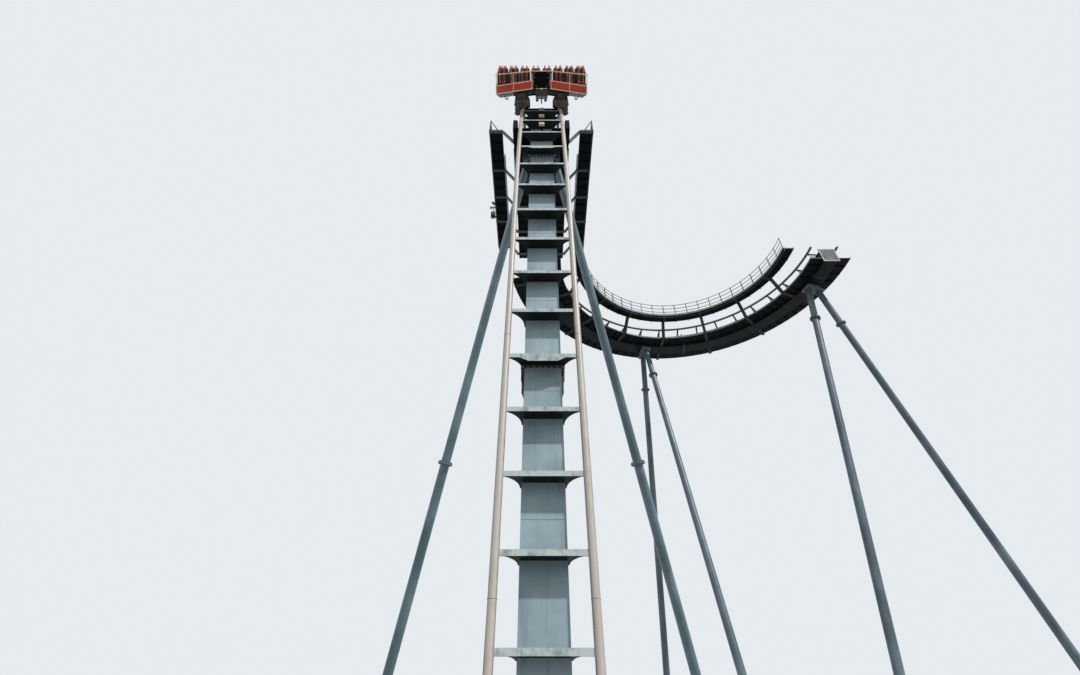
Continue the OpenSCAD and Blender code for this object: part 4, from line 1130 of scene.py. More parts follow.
@dataclass
class CrestDressing:
    """Ribs, stringers and bolts of the crest side plates, and the position sensors on the centre line."""

    plate_face: float = 1.45
    plate_back: float = 1.265
    plate_y: tuple[float, float] = (2.9975, 5.6975)
    plate_z: tuple[float, float] = (-1.82, -0.97)
    arm_y: tuple[float, float] = (3.93, 4.15)
    rib: float = 0.014
    proud: float = 0.036
    rib_ends: float = 0.02
    ribs: tuple[float, ...] = (3.02, 3.42, 3.82, 4.27, 4.72, 5.17, 5.675)
    stringer: tuple[float, float] = (0.024, 0.05)
    stringer_ends: float = 0.06
    stringer_in: float = 0.08
    bolt_in: float = 0.07
    bolt_beside_arm: float = 0.1
    last_tie: int = 14
    sensor_shares: tuple[float, float, float] = (-0.3, 0.5, 0.35)
    case: tuple[float, float, float] = (0.24, 0.24, 0.1)
    case_u: float = -0.01
    stem_w: float = 0.09
    stem_len: float = 0.3
    stem_foot: tuple[float, float, float] = (0.13, 0.13, 0.012)
    screw: float = 0.095

    def build(self) -> None:
        """Makes the side plates' fittings and the sensors."""
        low, high = (LINE.rail_z + z for z in self.plate_z)
        self.side_plates(low, high)
        self.plate_bolts(low, high)
        self.sensors()

    def side_plates(self, low: float, high: float) -> None:
        """Makes the ribs, the edge strips that stop beside the walkway's arm, and the stringers inside.

        Args:
            low: Height of the plates' lower edge.
            high: Height of their upper edge.
        """
        work = Workpiece("side_plate_ribs")
        start, end = self.plate_y
        deep, tall = self.stringer
        for side in (-1, 1):
            x = side * (self.plate_face + self.proud / 2)
            rib = (self.proud, self.rib, high - low - self.rib_ends)
            for y in self.ribs:
                work.block(rib, moved(x, y, (low + high) / 2), 0.003)
            for z in (low + self.rib / 2, high - self.rib / 2):
                for y0, y1 in ((start, self.arm_y[0]), (self.arm_y[1], end)):
                    work.block((self.proud, y1 - y0, self.rib), moved(x, (y0 + y1) / 2, z), 0.003)
            inner = side * (self.plate_back - deep / 2)
            stringer = (deep, end - start - self.stringer_ends, tall)
            for z in (low + self.stringer_in, high - self.stringer_in):
                work.block(stringer, moved(inner, (start + end) / 2, z), 0.006)
        work.done(PLATE_COAT, Slot.DARK)

    def plate_bolts(self, low: float, high: float) -> None:
        """Makes the bolts between the ribs, clear of the walkway's arm.

        Args:
            low: Height of the plates' lower edge.
            high: Height of their upper edge.
        """
        bolts = Workpiece("side_plate_bolts")
        unit = hex_bolt(0.036, 0.022)
        arm = sum(self.arm_y) / 2
        for side in (-1, 1):
            face = moved(side * self.plate_face) @ turned("Y", 90 * side)
            for y0, y1 in zip(self.ribs, self.ribs[1:]):
                y = y1 - self.bolt_beside_arm if y0 < arm < y1 else (y0 + y1) / 2
                places = [moved(0, y, z) for z in (low + self.bolt_in, high - self.bolt_in)]
                bolts.stamp(unit, [place @ face for place in places])
        bolts.done(BOLT_COAT, Slot.ZINC)

    def sensor_frames(self) -> list[Matrix]:
        """Frames of the sensors: two by the last tie of the drop, and one by the first of the crest."""
        below, above, over = self.sensor_shares
        last = LINE.tie_s(self.last_tie)
        pitch = math.degrees(LINE.tie_pitch / LINE.crest_r)
        ahead = LINE.tie_s(self.last_tie + 1) - LINE.drop_len - LINE.bend_len
        slope = LINE.crest_slope - math.degrees(ahead / LINE.crest_r)
        drop = [LINE.drop(last + share * LINE.tie_pitch) for share in (below, above)]
        return drop + [LINE.crest(slope - pitch * over)]

    def sensors(self) -> None:
        """Makes the sensors' cases on their stems, with lenses, screws and cable glands."""
        lenses, screws = Workpiece("sensor_lenses"), Workpiece("sensor_screws")
        cases, stems = Workpiece("sensor_cases"), Workpiece("sensor_stems")
        unit = hex_bolt(0.02, 0.01)
        back = self.case_u - self.case[2] / 2
        foot_u = back - self.stem_len + self.stem_foot[2] / 2
        corners = [moved(x, y) for x in (-self.screw, self.screw) for y in (-self.screw, self.screw)]
        for at in self.sensor_frames():
            face = at @ moved(z=self.case_u + self.case[2] / 2)
            cases.block(self.case, at @ moved(z=self.case_u), 0.012, 3)
            stem = (self.stem_w, self.stem_w, self.stem_len)
            stems.block(stem, at @ moved(z=back - self.stem_len / 2), 0.006, 2)
            stems.block(self.stem_foot, at @ moved(z=foot_u), 0.003)
            lenses.turned_shape(((0.0, 0.005), (0.02, 0.005), (0.03, 0.008), (0.036, 0.0)), face, 28)
            screws.stamp(unit, [face @ corner for corner in corners])
            for x in (-0.05, 0.05):
                gland = at @ moved(x, -self.case[1] / 2, self.case_u) @ turned("X", 90)
                screws.rod(0.016, 0.03, gland, 10)
        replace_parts(cases.done(SENSOR_COAT, Slot.SENSOR), "track_sensors")
        stems.done(PLATE_COAT, Slot.DARK)
        lenses.done(LENS_COAT, Slot.SENSOR)
        screws.done(BOLT_COAT, Slot.ZINC)


@dataclass
class WalkwayDressing:
    """Bearers, nosings, conduits and railing fittings of the walkways."""

    inner: float = 2.15
    outer: float = 2.9
    start: float = 3.98
    deck_top: float = -0.15
    deck_base: float = -0.22
    post_w: float = 0.056
    post_x: float = 2.858
    post_pitch: float = 1.03
    turn_posts: int = 24
    turn_gap: float = 0.1
    rail_h: float = 1.05
    bar_d: float = 0.044
    foot: tuple[float, float, float] = (0.112, 0.11, 0.012)
    clamp: tuple[float, float, float] = (0.068, 0.074, 0.058)
    bearer: tuple[float, float] = (0.06, 0.09)
    bearer_t: float = 0.01
    straight_bearers: tuple[float, ...] = (4.7, 5.3, 5.85, 7.03, 7.65, 8.88, 9.5, 10.73, 11.35)
    bearer_angle: float = 7.5
    arm_clear: float = 3.0
    nosing_t: float = 0.012
    conduit: float = 0.024
    conduit_place: tuple[float, float] = (2.83, -0.355)
    hanger: tuple[float, float, float] = (0.03, 0.03, 0.09)

    def posts(self) -> list[Matrix]:
        """Frames of the railing posts, on both straight walkways and on the turn."""
        run = LINE.turn_y - self.start
        count = round(run / self.post_pitch)
        step = (run - self.post_w) / count
        first = self.start + self.post_w / 2
        found = [LINE.beside(side, first + i * step) for side in (-1, 1) for i in range(count + 1)]
        edge = math.degrees(self.post_w / 2 / (LINE.turn_r - self.outer + self.post_w))
        step = (180 - 2 * edge - self.turn_gap) / self.turn_posts
        return found + [LINE.turn(edge + self.turn_gap + i * step) for i in range(self.turn_posts + 1)]

    def build(self) -> None:
        """Makes the railing fittings, the nosings, the bearers and the conduits."""
        self.railing_fittings()
        self.nosings()
        self.bearers()
        self.conduits()

    def foot_unit(self) -> bpy.types.Mesh:
        """Unit foot plate of a post."""
        unit = Workpiece("post_foot_unit")
        middle = moved(self.post_x - self.post_w / 2, 0, self.deck_top + self.foot[2] / 2)
        unit.block(self.foot, middle, 0.002)
        return unit.as_unit()

    def clamp_unit(self) -> bpy.types.Mesh:
        """Unit set of the three clamps where bars cross a post."""
        unit = Workpiece("clamp_unit")
        for k in (1, 2, 3):
            z = self.deck_top + self.rail_h * k / 3 - self.bar_d / 2
            unit.block(self.clamp, moved(self.post_x, 0, z), 0.008)
        return unit.as_unit()

    def railing_fittings(self) -> None:
        """Makes foot plates, their bolts and the clamps where bars cross posts."""
        plates, clamps = Workpiece("post_foot_plates"), Workpiece("railing_clamps")
        bolts = Workpiece("railing_bolts")
        frames = self.posts()
        plates.stamp(self.foot_unit(), frames)
        clamps.stamp(self.clamp_unit(), frames)
        foot_top = self.deck_top + self.foot[2]
        spots = [moved(self.post_x - 0.07, y, foot_top) for y in (-0.04, 0.04)]
        spots += [moved(self.post_x - 0.04, y, foot_top) for y in (-0.042, 0.042)]
        bolts.stamp(hex_bolt(0.02, 0.012), [at @ spot for at in frames for spot in spots])
        plates.done(RAILING_COAT, Slot.ZINC)
        clamps.done(RAILING_COAT, Slot.ZINC)
        bolts.done(BOLT_COAT, Slot.ZINC)

    def bearer_frames(self) -> list[Matrix]:
        """Frames of the cross bearers, on both straight walkways and on the turn."""
        straight = [LINE.beside(side, y) for side in (-1, 1) for y in self.straight_bearers]
        return straight + [LINE.turn(a) for a in LINE.turn_angles(self.bearer_angle, self.arm_clear)]

    def nosings(self) -> None:
        """Makes the angles over the open ends of the straight decks."""
        nosing = Workpiece("walkway_nosings")
        length = self.outer - self.inner
        middle = (self.inner + self.outer) / 2
        for side in (-1, 1):
            at = LINE.beside(side, self.start - self.nosing_t / 2)
            nosing.block((length, self.nosing_t, 0.075), at @ moved(middle, 0, self.deck_base + 0.036), 0.003)
            nosing.block((length, 0.05, 0.01), at @ moved(middle, 0.022, self.deck_top + 0.005), 0.003)
        nosing.done(RAILING_COAT, Slot.ZINC)

    def bearers(self) -> None:
        """Makes the cross bearers under the decks."""
        unit_work = Workpiece("bearer_unit")
        width, depth = self.bearer
        length = self.outer - self.inner - 0.02
        middle = (self.inner + self.outer) / 2
        base = self.deck_base - depth
        unit_work.block((length, self.bearer_t, depth), moved(middle, 0, base + depth / 2), 0.002)
        unit_work.block((length, width, self.bearer_t), moved(middle, 0, base + self.bearer_t / 2), 0.002)
        work = Workpiece("walkway_bearers")
        work.stamp(unit_work.as_unit(), self.bearer_frames())
        work.done(PLATE_COAT, Slot.DARK)

    def conduits(self) -> None:
        """Makes the cable pipes under the walkways' outer edges, and their hangers."""
        work = Workpiece("walkway_conduits")
        x, z = self.conduit_place
        for side in (-1, 1):
            start, end = (
                LINE.beside(side, y) @ Vector((x, 0, z)) for y in (self.start + 0.3, LINE.turn_y))
            work.rod_between(start, end, self.conduit)
        corners = [math.pi * i / 4 for i in range(8)]
        ring = [(x + self.conduit * math.cos(a), z + self.conduit * math.sin(a)) for a in corners]
        work.swept_bar(ring, 0.0, 180.0, 90)
        for at in self.bearer_frames():
            work.block(self.hanger, at @ moved(x, 0, z + 0.055), 0.004)
        work.done(MAST_COAT, Slot.DARK)


@dataclass
class ServiceRibs:
    """Ribs under the service decks, clear of the ties, the girder's collar and the turn's frames.

    A rib is given as (depth, thickness), and each stretch's ribs as (width, their middle across the track).
    """

    rib: tuple[float, float] = (0.08, 0.012)
    top: float = -1.2197
    crest_rib: tuple[float, float] = (0.72, 0.865)
    crest_ribs: tuple[float, ...] = (3.55, 4.45, 4.9, 5.35)
    holding_rib: tuple[float, float] = (0.9, 0.955)
    holding_start: float = 0.75
    holding_pitch: float = 0.4625
    holding_ribs: int = 12
    tie_start: float = 0.45
    tie_step: float = 1.85
    tie_clear: float = 0.16
    turn_rib: tuple[float, float] = (0.82, 0.9)
    turn_angle: float = 3.75
    arm_clear: float = 2.0
    collar_clear: float = 1.2
    frame_clear: float = 2.2
    inner_start: float = 10.0

    def holding_places(self) -> list[float]:
        """Distances past the crest of the ribs that stand clear of a tie."""
        places = [self.holding_start + self.holding_pitch * j for j in range(self.holding_ribs)]
        half = self.tie_step / 2
        past_tie = [(s - self.tie_start + half) % self.tie_step - half for s in places]
        return [s for s, gap in zip(places, past_tie) if abs(gap) >= self.tie_clear]

    def turn_places(self) -> list[float]:
        """Angles of the ribs that stand clear of the collar and of the frames."""
        taken = [(LINE.turn_split, self.collar_clear)] + [(a, self.frame_clear) for a in LINE.frame_angles]
        angles = LINE.turn_angles(self.turn_angle, self.arm_clear)
        return [a for a in angles if all(abs(a - middle) >= clear for middle, clear in taken)]

    def build(self) -> None:
        """Makes the ribs. The inner side of the turn has none over its first degrees."""
        work = Workpiece("service_deck_ribs")
        depth, thick = self.rib
        ribs: list[tuple[Matrix, tuple[float, float]]] = []
        for side in (-1, 1):
            ribs += [
                (LINE.beside(side, LINE.crest_centre.y + s), self.holding_rib) for s in self.holding_places()]
            ribs += [(LINE.beside(side, y), self.crest_rib) for y in self.crest_ribs]
        for a in self.turn_places():
            width, across = self.turn_rib
            sides = (-1, 1) if a >= self.inner_start else (1,)
            ribs += [(LINE.turn(a), (width, side * across)) for side in sides]
        for at, (width, across) in ribs:
            work.block((width, thick, depth), at @ moved(across, 0, self.top - depth / 2), 0.002)
        work.done(PLATE_COAT, Slot.DARK)


@dataclass
class TurnDressing:
    """Stiffeners and bolts of the boxes on top of the turn's frames."""

    plate_top: float = -1.715
    box_x: float = 0.46
    gusset_w: float = 0.24
    gusset_t: float = 0.02
    gusset_toe: float = 0.03
    gussets: tuple[float, ...] = (-0.2, 0.0, 0.2)
    bolt_x: float = 0.6
    bolts: tuple[float, ...] = (-0.27, -0.1, 0.1, 0.27)

    def gusset(self, side: int) -> list[tuple[float, float]]:
        """Outline of a gusset on one side of the box, up to just under the girder."""
        rise = -LINE.girder_foot - self.plate_top - 0.02
        wide, toe = self.gusset_w, self.gusset_toe
        return [(side * x, z) for x, z in ((0.0, 0.0), (wide, 0.0), (wide, toe), (toe, rise), (0.0, rise))]

    def build(self) -> None:
        """Makes the gussets and bolts."""
        work, bolts = Workpiece("frame_head_gussets"), Workpiece("frame_head_bolts")
        unit = hex_bolt(0.046, 0.03, 0.018)
        for angle in LINE.frame_angles:
            at = LINE.turn(angle)
            for side in (-1, 1):
                for y in self.gussets:
                    foot = at @ moved(side * self.box_x, y - side * self.gusset_t / 2, self.plate_top)
                    work.plate(self.gusset(side), self.gusset_t, foot @ turned("X", 90))
                bolts.stamp(unit, [at @ moved(side * self.bolt_x, y, self.plate_top) for y in self.bolts])
        work.done(HEAD_COAT, Slot.HEAD)
        bolts.done(BOLT_COAT, Slot.ZINC)


@dataclass
class DriveDressing:
    """Cooling fins, bolts and straps of the holding track's drive."""

    x: float = -1.045
    base: float = -1.1794
    box: tuple[float, float, float] = (0.36, 0.42, 0.43)
    drives: tuple[float, float] = (5.55, 3.95)
    motor_r: float = 0.17
    fins: int = 11
    fin_pitch: float = 0.036
    fin_proud: float = 0.012
    box_bolts: tuple[float, ...] = (-0.16, 0.0, 0.16)
    tanks: float = 2.85
    tank_apart: float = 0.3
    tank_u: float = 0.15
    tank_r: float = 0.13
    straps: tuple[float, float] = (-0.3, 0.3)
    seams: tuple[float, float] = (-0.42, 0.42)

    def build(self) -> None:
        """Makes the fittings of the machinery."""
        fins, bolts = Workpiece("motor_fins"), Workpiece("drive_bolts")
        for s in self.drives:
            at = LINE.holding(s) @ moved(self.x, 0, self.base)
            self.motor(fins, at @ moved(0, self.box[1] / 2, self.box[2] / 2 + 0.01) @ turned("X", -90))
            self.box_fixings(bolts, at)
        for side in (-1, 1):
            shift = moved(self.x + side * self.tank_apart / 2, 0, self.base + self.tank_u)
            self.tank(fins, LINE.holding(self.tanks) @ shift)
        fins.done(MACHINE_COAT, Slot.DARK)
        bolts.done(BOLT_COAT, Slot.ZINC)

    def motor(self, work: Workpiece, axis: Matrix) -> None:
        """Adds a motor's fins, terminal box and fan cowl along an axis."""
        for i in range(self.fins):
            work.rod(self.motor_r + self.fin_proud, 0.008, axis @ moved(z=0.06 + i * self.fin_pitch), 28)
        work.block((0.13, 0.16, 0.07), axis @ moved(0.0, -self.motor_r - 0.03, 0.2), 0.008)
        work.rod(self.motor_r * 0.8, 0.03, axis @ moved(z=0.515), 28, self.motor_r * 0.6)

    def box_fixings(self, work: Workpiece, at: Matrix) -> None:
        """Adds the bolts on a gear box's outer side and on its lid."""
        unit = hex_bolt(0.03, 0.02)
        side = at @ moved(-self.box[0] / 2, 0, self.box[2] / 2) @ turned("Y", -90)
        work.stamp(unit, [side @ moved(z, y) for z in (-0.17, 0.17) for y in self.box_bolts])
        lid = at @ moved(z=self.box[2])
        ends = (self.box_bolts[0], self.box_bolts[-1])
        work.stamp(unit, [lid @ moved(x, y) for x in (-0.14, 0.14) for y in ends])

    def tank(self, work: Workpiece, at: Matrix) -> None:
        """Adds a tank's straps and the seams of its ends."""
        for y in self.straps:
            work.rod(self.tank_r + 0.006, 0.04, at @ moved(y=y + 0.02) @ turned("X", 90), 28)
        for y in self.seams:
            work.ring(self.tank_r, 0.006, at @ moved(y=y) @ turned("X", 90))


@dataclass
class MastDressing:
    """Door of the cabinet at the service mast's foot, visor of its round head and rings on its pole."""

    s: float = 3.85
    x: float = -3.1
    deck: float = -0.15
    door_x: float = -3.224
    door: tuple[float, float, float] = (0.008, 0.29, 0.25)
    head_u: float = 1.25
    head_r: float = 0.087
    head_half: float = 0.13
    rings: tuple[float, ...] = (0.32, 0.9, 1.32)

    def build(self) -> None:
        """Makes the door with its hinges and handle, the visor's rims and the pole's rings."""
        at = LINE.holding(self.s)
        work = Workpiece("mast_fittings")
        door = at @ moved(self.door_x)
        work.block(self.door, door, 0.002)
        for z in (-0.08, 0.08):
            work.rod(0.009, 0.04, door @ moved(-0.004, self.door[1] / 2, z - 0.02), 10)
        work.block((0.014, 0.03, 0.06), door @ moved(-0.008, -0.115), 0.004)
        head = at @ moved(self.x, 0, self.head_u) @ turned("Y", -55)
        for end in (-self.head_half, self.head_half):
            work.ring(self.head_r, 0.007, head @ moved(z=end))
        for z in self.rings:
            work.rod(0.037, 0.03, at @ moved(self.x, 0, self.deck + z - 0.015), 20)
        work.done(MAST_COAT, Slot.DARK)


@dataclass
class CarBodywork:
    """Rounded copies of the car's plates and trims, with their rivets, rims and seams."""

    rivet_start: float = 0.47
    rivet_pitch: float = 0.105
    rivets_each: int = 16
    guard_rivets: tuple[float, ...] = (-1.1, -0.9, -0.7, -0.4, -0.1, 0.2, 0.5, 0.8, 1.1)
    rim_r: float = 0.011
    rim_half: tuple[float, float] = (0.35, 0.27)
    rim_u: tuple[float, float, float] = (1.46, 1.235, 0.85)
    bead_spans: tuple[tuple[float, float], ...] = ((0.5, 1.2), (1.36, 2.02))
    bead_rises: tuple[float, float] = (0.08, 0.16)

    def build(self) -> None:
        """Rounds the body and adds its small pieces."""
        rounded("front_panels", "red_front_panels", CAR_RED, Slot.RED, "car", 0.007)
        rounded("car_end_guards", "red_end_guards", CAR_RED, Slot.RED, "car", 0.008)
        rounded("front_barrier", "cream_barrier", CAR_CREAM, Slot.CREAM, "car", 0.006)
        rounded("nose_shield", "black_shield", CAR_BLACK, Slot.BLACK, "car", 0.012, 3)
        rounded("car_steps", "side_steps", STEP_COAT, Slot.STEP, "car", 0.006)
        rounded("brake_fins", "brake_plates", STEP_COAT, Slot.STEP, "car", 0.005)
        rounded("car_chassis", "chassis_castings", FRAME_COAT, Slot.CAR_FRAME, "car", 0.012)
        self.rivets()
        self.shield_rim()
        self.shield_bolts()
        self.shield_catch()
        self.panel_beads()

    def rivets(self) -> None:
        """Makes the rivets along the panels and the end guards."""
        unit_work = Workpiece("rivet_unit")
        unit_work.turned_shape(((0.0, 0.006), (0.007, 0.005), (0.011, 0.0)), Matrix(), 8)
        work = Workpiece("body_rivets")
        spots = []
        for side in (-1, 1):
            for i in range(self.rivets_each):
                x = side * (self.rivet_start + i * self.rivet_pitch)
                spots += [
                    CAR.at(x, CAR.front - 0.024, CAR.floor_u(x) + rise) @ turned("X", 90)
                    for rise in (-0.045, CAR.panel_h - 0.02)]
            spots += [
                CAR.at(side * CAR.half, y, CAR.floor_side + rise) @ turned("Y", 90 * side)
                for y in self.guard_rivets for rise in (-0.035, 0.14)]
        work.stamp(unit_work.as_unit(), spots)
        work.done(CAR_CREAM, Slot.CREAM, "car")

    def shield_rim(self) -> None:
        """Makes the rim of the shield with its rounded corners. The shield's middle stays bare."""
        rim = Workpiece("shield_rim")
        wide, narrow = self.rim_half
        top, waist, base = self.rim_u
        right = ((wide, top), (wide, waist), (narrow, base))
        outline = [(-wide, top), *right, (-narrow, base), (-wide, waist)]
        points = [CAR.at(x, CAR.front - 0.05, z).translation for x, z in outline]
        for a, b in zip(points, points[1:] + points[:1]):
            rim.rod_between(a, b, self.rim_r, 10)
        corner = ((0.0, 0.014), (0.012, 0.008), (0.014, 0.0), (0.0, -0.014))
        for point in points:
            rim.turned_shape(corner, Matrix.Translation(point), 10)
        rim.done(CAR_BLACK, Slot.BLACK, "car")

    def shield_bolts(self) -> None:
        """Makes the bolts inside the shield's rim."""
        bolts = Workpiece("shield_bolts")
        places = [(side * x, z) for x, z in ((0.31, 1.42), (0.31, 1.24), (0.235, 0.89)) for side in (-1, 1)]
        bolts.stamp(hex_bolt(0.024, 0.014), [
            CAR.at(x, CAR.front - 0.05, z) @ turned("X", 90) for x, z in places])
        bolts.done(BOLT_COAT, Slot.ZINC, "car")

    def shield_catch(self) -> None:
        """Makes the pale catch and its bar under the shield."""
        catch = Workpiece("shield_catch")
        catch.block((0.5, 0.03, 0.03), CAR.at(0, CAR.front - 0.02, CAR.floor_mid - 0.045), 0.008, 2)
        catch.block((0.11, 0.045, 0.07), CAR.at(0, CAR.front - 0.022, CAR.floor_mid - 0.06), 0.012, 2)
        catch.done(CAR_CREAM, Slot.CREAM, "car")

    def panel_beads(self) -> None:
        """Makes the pressed stiffening beads of the red panels."""
        work = Workpiece("panel_beads")
        for side in (-1, 1):
            for span in self.bead_spans:
                for rise in self.bead_rises:
                    a, b = (CAR.at(side * x, CAR.front, CAR.floor_u(x) + rise).translation for x in span)
                    work.rod_between(a, b, 0.009, 8)
        work.done(CAR_RED, Slot.RED, "car")


@dataclass
class RunningGear:
    """Rounded carriers and wheels, with hub caps, bolts and pipes."""

    hub: tuple[tuple[float, float], ...] = (
        (0.0, 0.05), (0.03, 0.048), (0.042, 0.036), (0.045, 0.014),
        (0.066, 0.012), (0.068, 0.0), (0.0, -0.002))
    cap_row: tuple[float, ...] = (0.64, 0.82, 1.0, 1.18)
    cap_u: float = 0.36
    cap_side: tuple[float, float] = (1.2, 0.1)
    lid_bolt: tuple[tuple[float, float], tuple[float, float]] = ((0.63, 1.19), (-0.3, 0.3))
    plate_bolt: tuple[tuple[float, float], tuple[float, float]] = ((-0.29, 0.29), (0.36, 0.05))
    pipe_x: float = 0.185
    pipe_u: float = 0.56
    clips: tuple[float, ...] = (-0.6, -0.1, 0.4)

    def build(self) -> None:
        """Rounds the running gear and adds its small pieces."""
        rounded("wheel_carriers", "carrier_castings", CARRIER_COAT, Slot.CAR_FRAME, "car", 0.008)
        rounded("load_wheels", "load_wheel_treads", TREAD_COAT, Slot.TREAD, "car", 0.01, 3)
        rounded("guide_wheels", "guide_wheel_treads", TREAD_COAT, Slot.TREAD, "car", 0.008, 3)
        self.hubs()
        self.bolts()
        self.pipes()

    def hubs(self) -> None:
        """Makes the caps over the axle ends on the carriers' outer plates."""
        unit_work = Workpiece("hub_unit")
        unit_work.turned_shape(self.hub, Matrix(), 24)
        unit = unit_work.as_unit()
        work = Workpiece("hub_caps")
        for side in (-1, 1):
            out = turned("Y", 90 * side)
            for end in (-1, 1):
                spots = [CAR.axle(end, t) @ moved(side * CAR.carrier_face, 0, CAR.load_u) for t in (-1, 1)]
                spots.append(CAR.axle(end) @ moved(side * CAR.carrier_face, 0, CAR.upstop_u))
                work.stamp(unit, [spot @ out for spot in spots])
        work.done(HUB_COAT, Slot.CAR_FRAME, "car")

    def bolts(self) -> None:
        """Makes the bolts of the carriers' end caps, lids and outer plates."""
        outer_x, u = self.cap_side
        cap = [(x, self.cap_u) for x in self.cap_row] + [(outer_x, u), (outer_x, -u)]
        spots = []
        for side in (-1, 1):
            for at in (CAR.axle(-1), CAR.axle(1)):
                for face in (-1, 1):
                    end = at @ moved(y=face * CAR.carrier_half)
                    spots += [end @ moved(side * x, 0, z) @ turned("X", -90 * face) for x, z in cap]
                xs, ys = self.lid_bolt
                spots += [at @ moved(side * x, y, CAR.lid_u) for x in xs for y in ys]
                outer = at @ moved(side * CAR.carrier_face)
                ys, zs = self.plate_bolt
                spots += [outer @ moved(0, y, z) @ turned("Y", 90 * side) for y in ys for z in zs]
        work = Workpiece("carrier_bolts")
        work.stamp(hex_bolt(0.034, 0.022), spots)
        work.done(BOLT_COAT, Slot.CAR_FRAME, "car")

    def pipes(self) -> None:
        """Makes the brake pipes along the keel, with their clips."""
        work = Workpiece("brake_pipes")
        for x in (-self.pipe_x, self.pipe_x):
            a, b = (CAR.at(x, y, self.pipe_u).translation for y in (CAR.front + 0.3, CAR.back - 0.55))
            work.rod_between(a, b, 0.011, 8)
            for y in self.clips:
                work.block((0.05, 0.03, 0.034), CAR.at(x * 0.93, y, self.pipe_u), 0.004)
        work.done(FRAME_COAT, Slot.CAR_FRAME, "car")


@dataclass
class Seating:
    """Seats with their pads, headrests and belts, and the padded restraints."""

    width: float = 0.39
    stations: tuple[tuple[float, float], ...] = (
        (-1.0, 0.45), (-0.86, 0.85), (-0.5, 1.0), (0.0, 0.94), (0.5, 1.0), (0.86, 0.85), (1.0, 0.45))
    crown: float = 0.012
    seat: tuple[tuple[float, float], ...] = (
        (0.015, 0.014), (0.04, 0.026), (0.2, 0.02), (0.33, 0.028), (0.4, 0.02), (0.418, 0.006))
    back: tuple[tuple[float, float], ...] = (
        (0.12, 0.006), (0.2, 0.007), (0.35, 0.02), (0.5, 0.034), (0.58, 0.03), (0.62, 0.01))
    head: tuple[tuple[float, float], ...] = (
        (0.65, 0.012), (0.68, 0.04), (0.73, 0.05), (0.78, 0.042), (0.815, 0.012))
    head_width: float = 0.3
    voxel: float = 0.014
    grip_x: float = 0.105
    grip: tuple[tuple[float, float], ...] = ((0.135, 0.33), (0.08, 0.36), (0.08, 0.47), (0.135, 0.5))
    bearing_x: float = 0.158
    belt_tilt: float = -52.0

    def build(self) -> None:
        """Makes the seats of both rows and all that is on them."""
        for row, name in enumerate(("front", "rear")):
            rounded(f"{name}_seats", f"{name}_seat_shells", SHELL_COAT, Slot.SHELL, "car", 0.009)
            self.pads(row, name)
            self.restraints(name)
            self.fittings(row, name)

    def cushion(self, work: Workpiece, top: Sequence[tuple[float, float]], width: float, at: Matrix) -> None:
        """Adds a crowned pad on a frame's XY plane.

        Args:
            work: The mesh under way.
            top: Points of its top along the frame's Y, as (length, thickness).
            width: Its width along X.
            at: The frame.
        """
        rows = []
        for share, fill in self.stations:
            inset = self.crown * (1 - fill)
            line = [(max(top[0][0] + inset, min(top[-1][0] - inset, y)), t * fill) for y, t in top]
            loop = [(y, t) for y, t in line] + [(y, 0.0) for y, _ in reversed(line)]
            verts = [work.mesh.verts.new(at @ Vector((share * width / 2, y, z))) for y, z in loop]
            edges = [work.mesh.edges.new(pair) for pair in zip(verts, verts[1:] + verts[:1])]
            rows.append(edges)
        for first, second in zip(rows, rows[1:]):
            bmesh.ops.bridge_loops(work.mesh, edges=first + second)
        for edges in (rows[0], rows[-1]):
            bmesh.ops.contextual_create(work.mesh, geom=edges)

    def pads(self, row: int, name: str) -> None:
        """Makes the seat cushions, back pads and headrests of a row."""
        work = Workpiece(f"{name}_seat_pads")
        for index in range(CAR.seats):
            pan = CAR.seat(row, index) @ moved(y=CAR.pan_len, z=CAR.pan_t) @ turned("Z", 180)
            self.cushion(work, self.seat, self.width, pan)
            self.cushion(work, self.back, self.width, CAR.seat_back(row, index))
            self.cushion(work, self.head, self.head_width, CAR.seat_back(row, index))
        piece = work.done(PAD_COAT, Slot.PAD, "car", 60.0)
        smoother = piece.modifiers.new("crown", "SUBSURF")
        smoother.levels = smoother.render_levels = 2

    def restraints(self, name: str) -> None:
        """Stands soft-edged copies of the restraints in the CAD solids' place."""
        work = merged_copy(f"{name}_restraints")
        work.name = f"{name}_restraint_pads"
        piece = work.done(RESTRAINT_COAT, Slot.PAD, "car", 180.0)
        shell = piece.modifiers.new("skin", "REMESH")
        shell.mode = "VOXEL"
        shell.voxel_size = self.voxel
        shell.use_smooth_shade = True
        soften = piece.modifiers.new("soften", "SMOOTH")
        soften.factor = 0.5
        soften.iterations = 10
        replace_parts(piece, f"{name}_restraints")

    def fittings(self, row: int, name: str) -> None:
        """Makes the grips, belts, buckles and pivot bearings of a row."""
        grips, belts = Workpiece(f"{name}_grips"), Workpiece(f"{name}_belts")
        for index in range(CAR.seats):
            seat = CAR.seat(row, index)
            back = CAR.seat_back(row, index) @ moved(0, CAR.back_len * 0.9, -CAR.back_t - 0.03)
            for side in (-1, 1):
                points = [seat @ Vector((side * self.grip_x, y, z)) for y, z in self.grip]
                for a, b in zip(points, points[1:]):
                    grips.rod_between(a, b, 0.014, 10)
                bearing = back @ moved(side * self.bearing_x)
                grips.rod(0.046, 0.03, bearing @ moved(-0.015) @ turned("Y", 90), 20)
                grips.block((0.03, 0.07, 0.05), bearing @ moved(z=0.02), 0.004)
            slope = seat @ moved(0, 0.1, 0.15) @ turned("X", self.belt_tilt)
            belts.block((0.048, 0.2, 0.005), slope, 0.001)
            belts.block((0.062, 0.07, 0.018), slope @ moved(y=0.01), 0.005, 2)
        grips.done(HUB_COAT, Slot.CAR_FRAME, "car")
        belts.done(STRAP_COAT, Slot.PAD, "car")


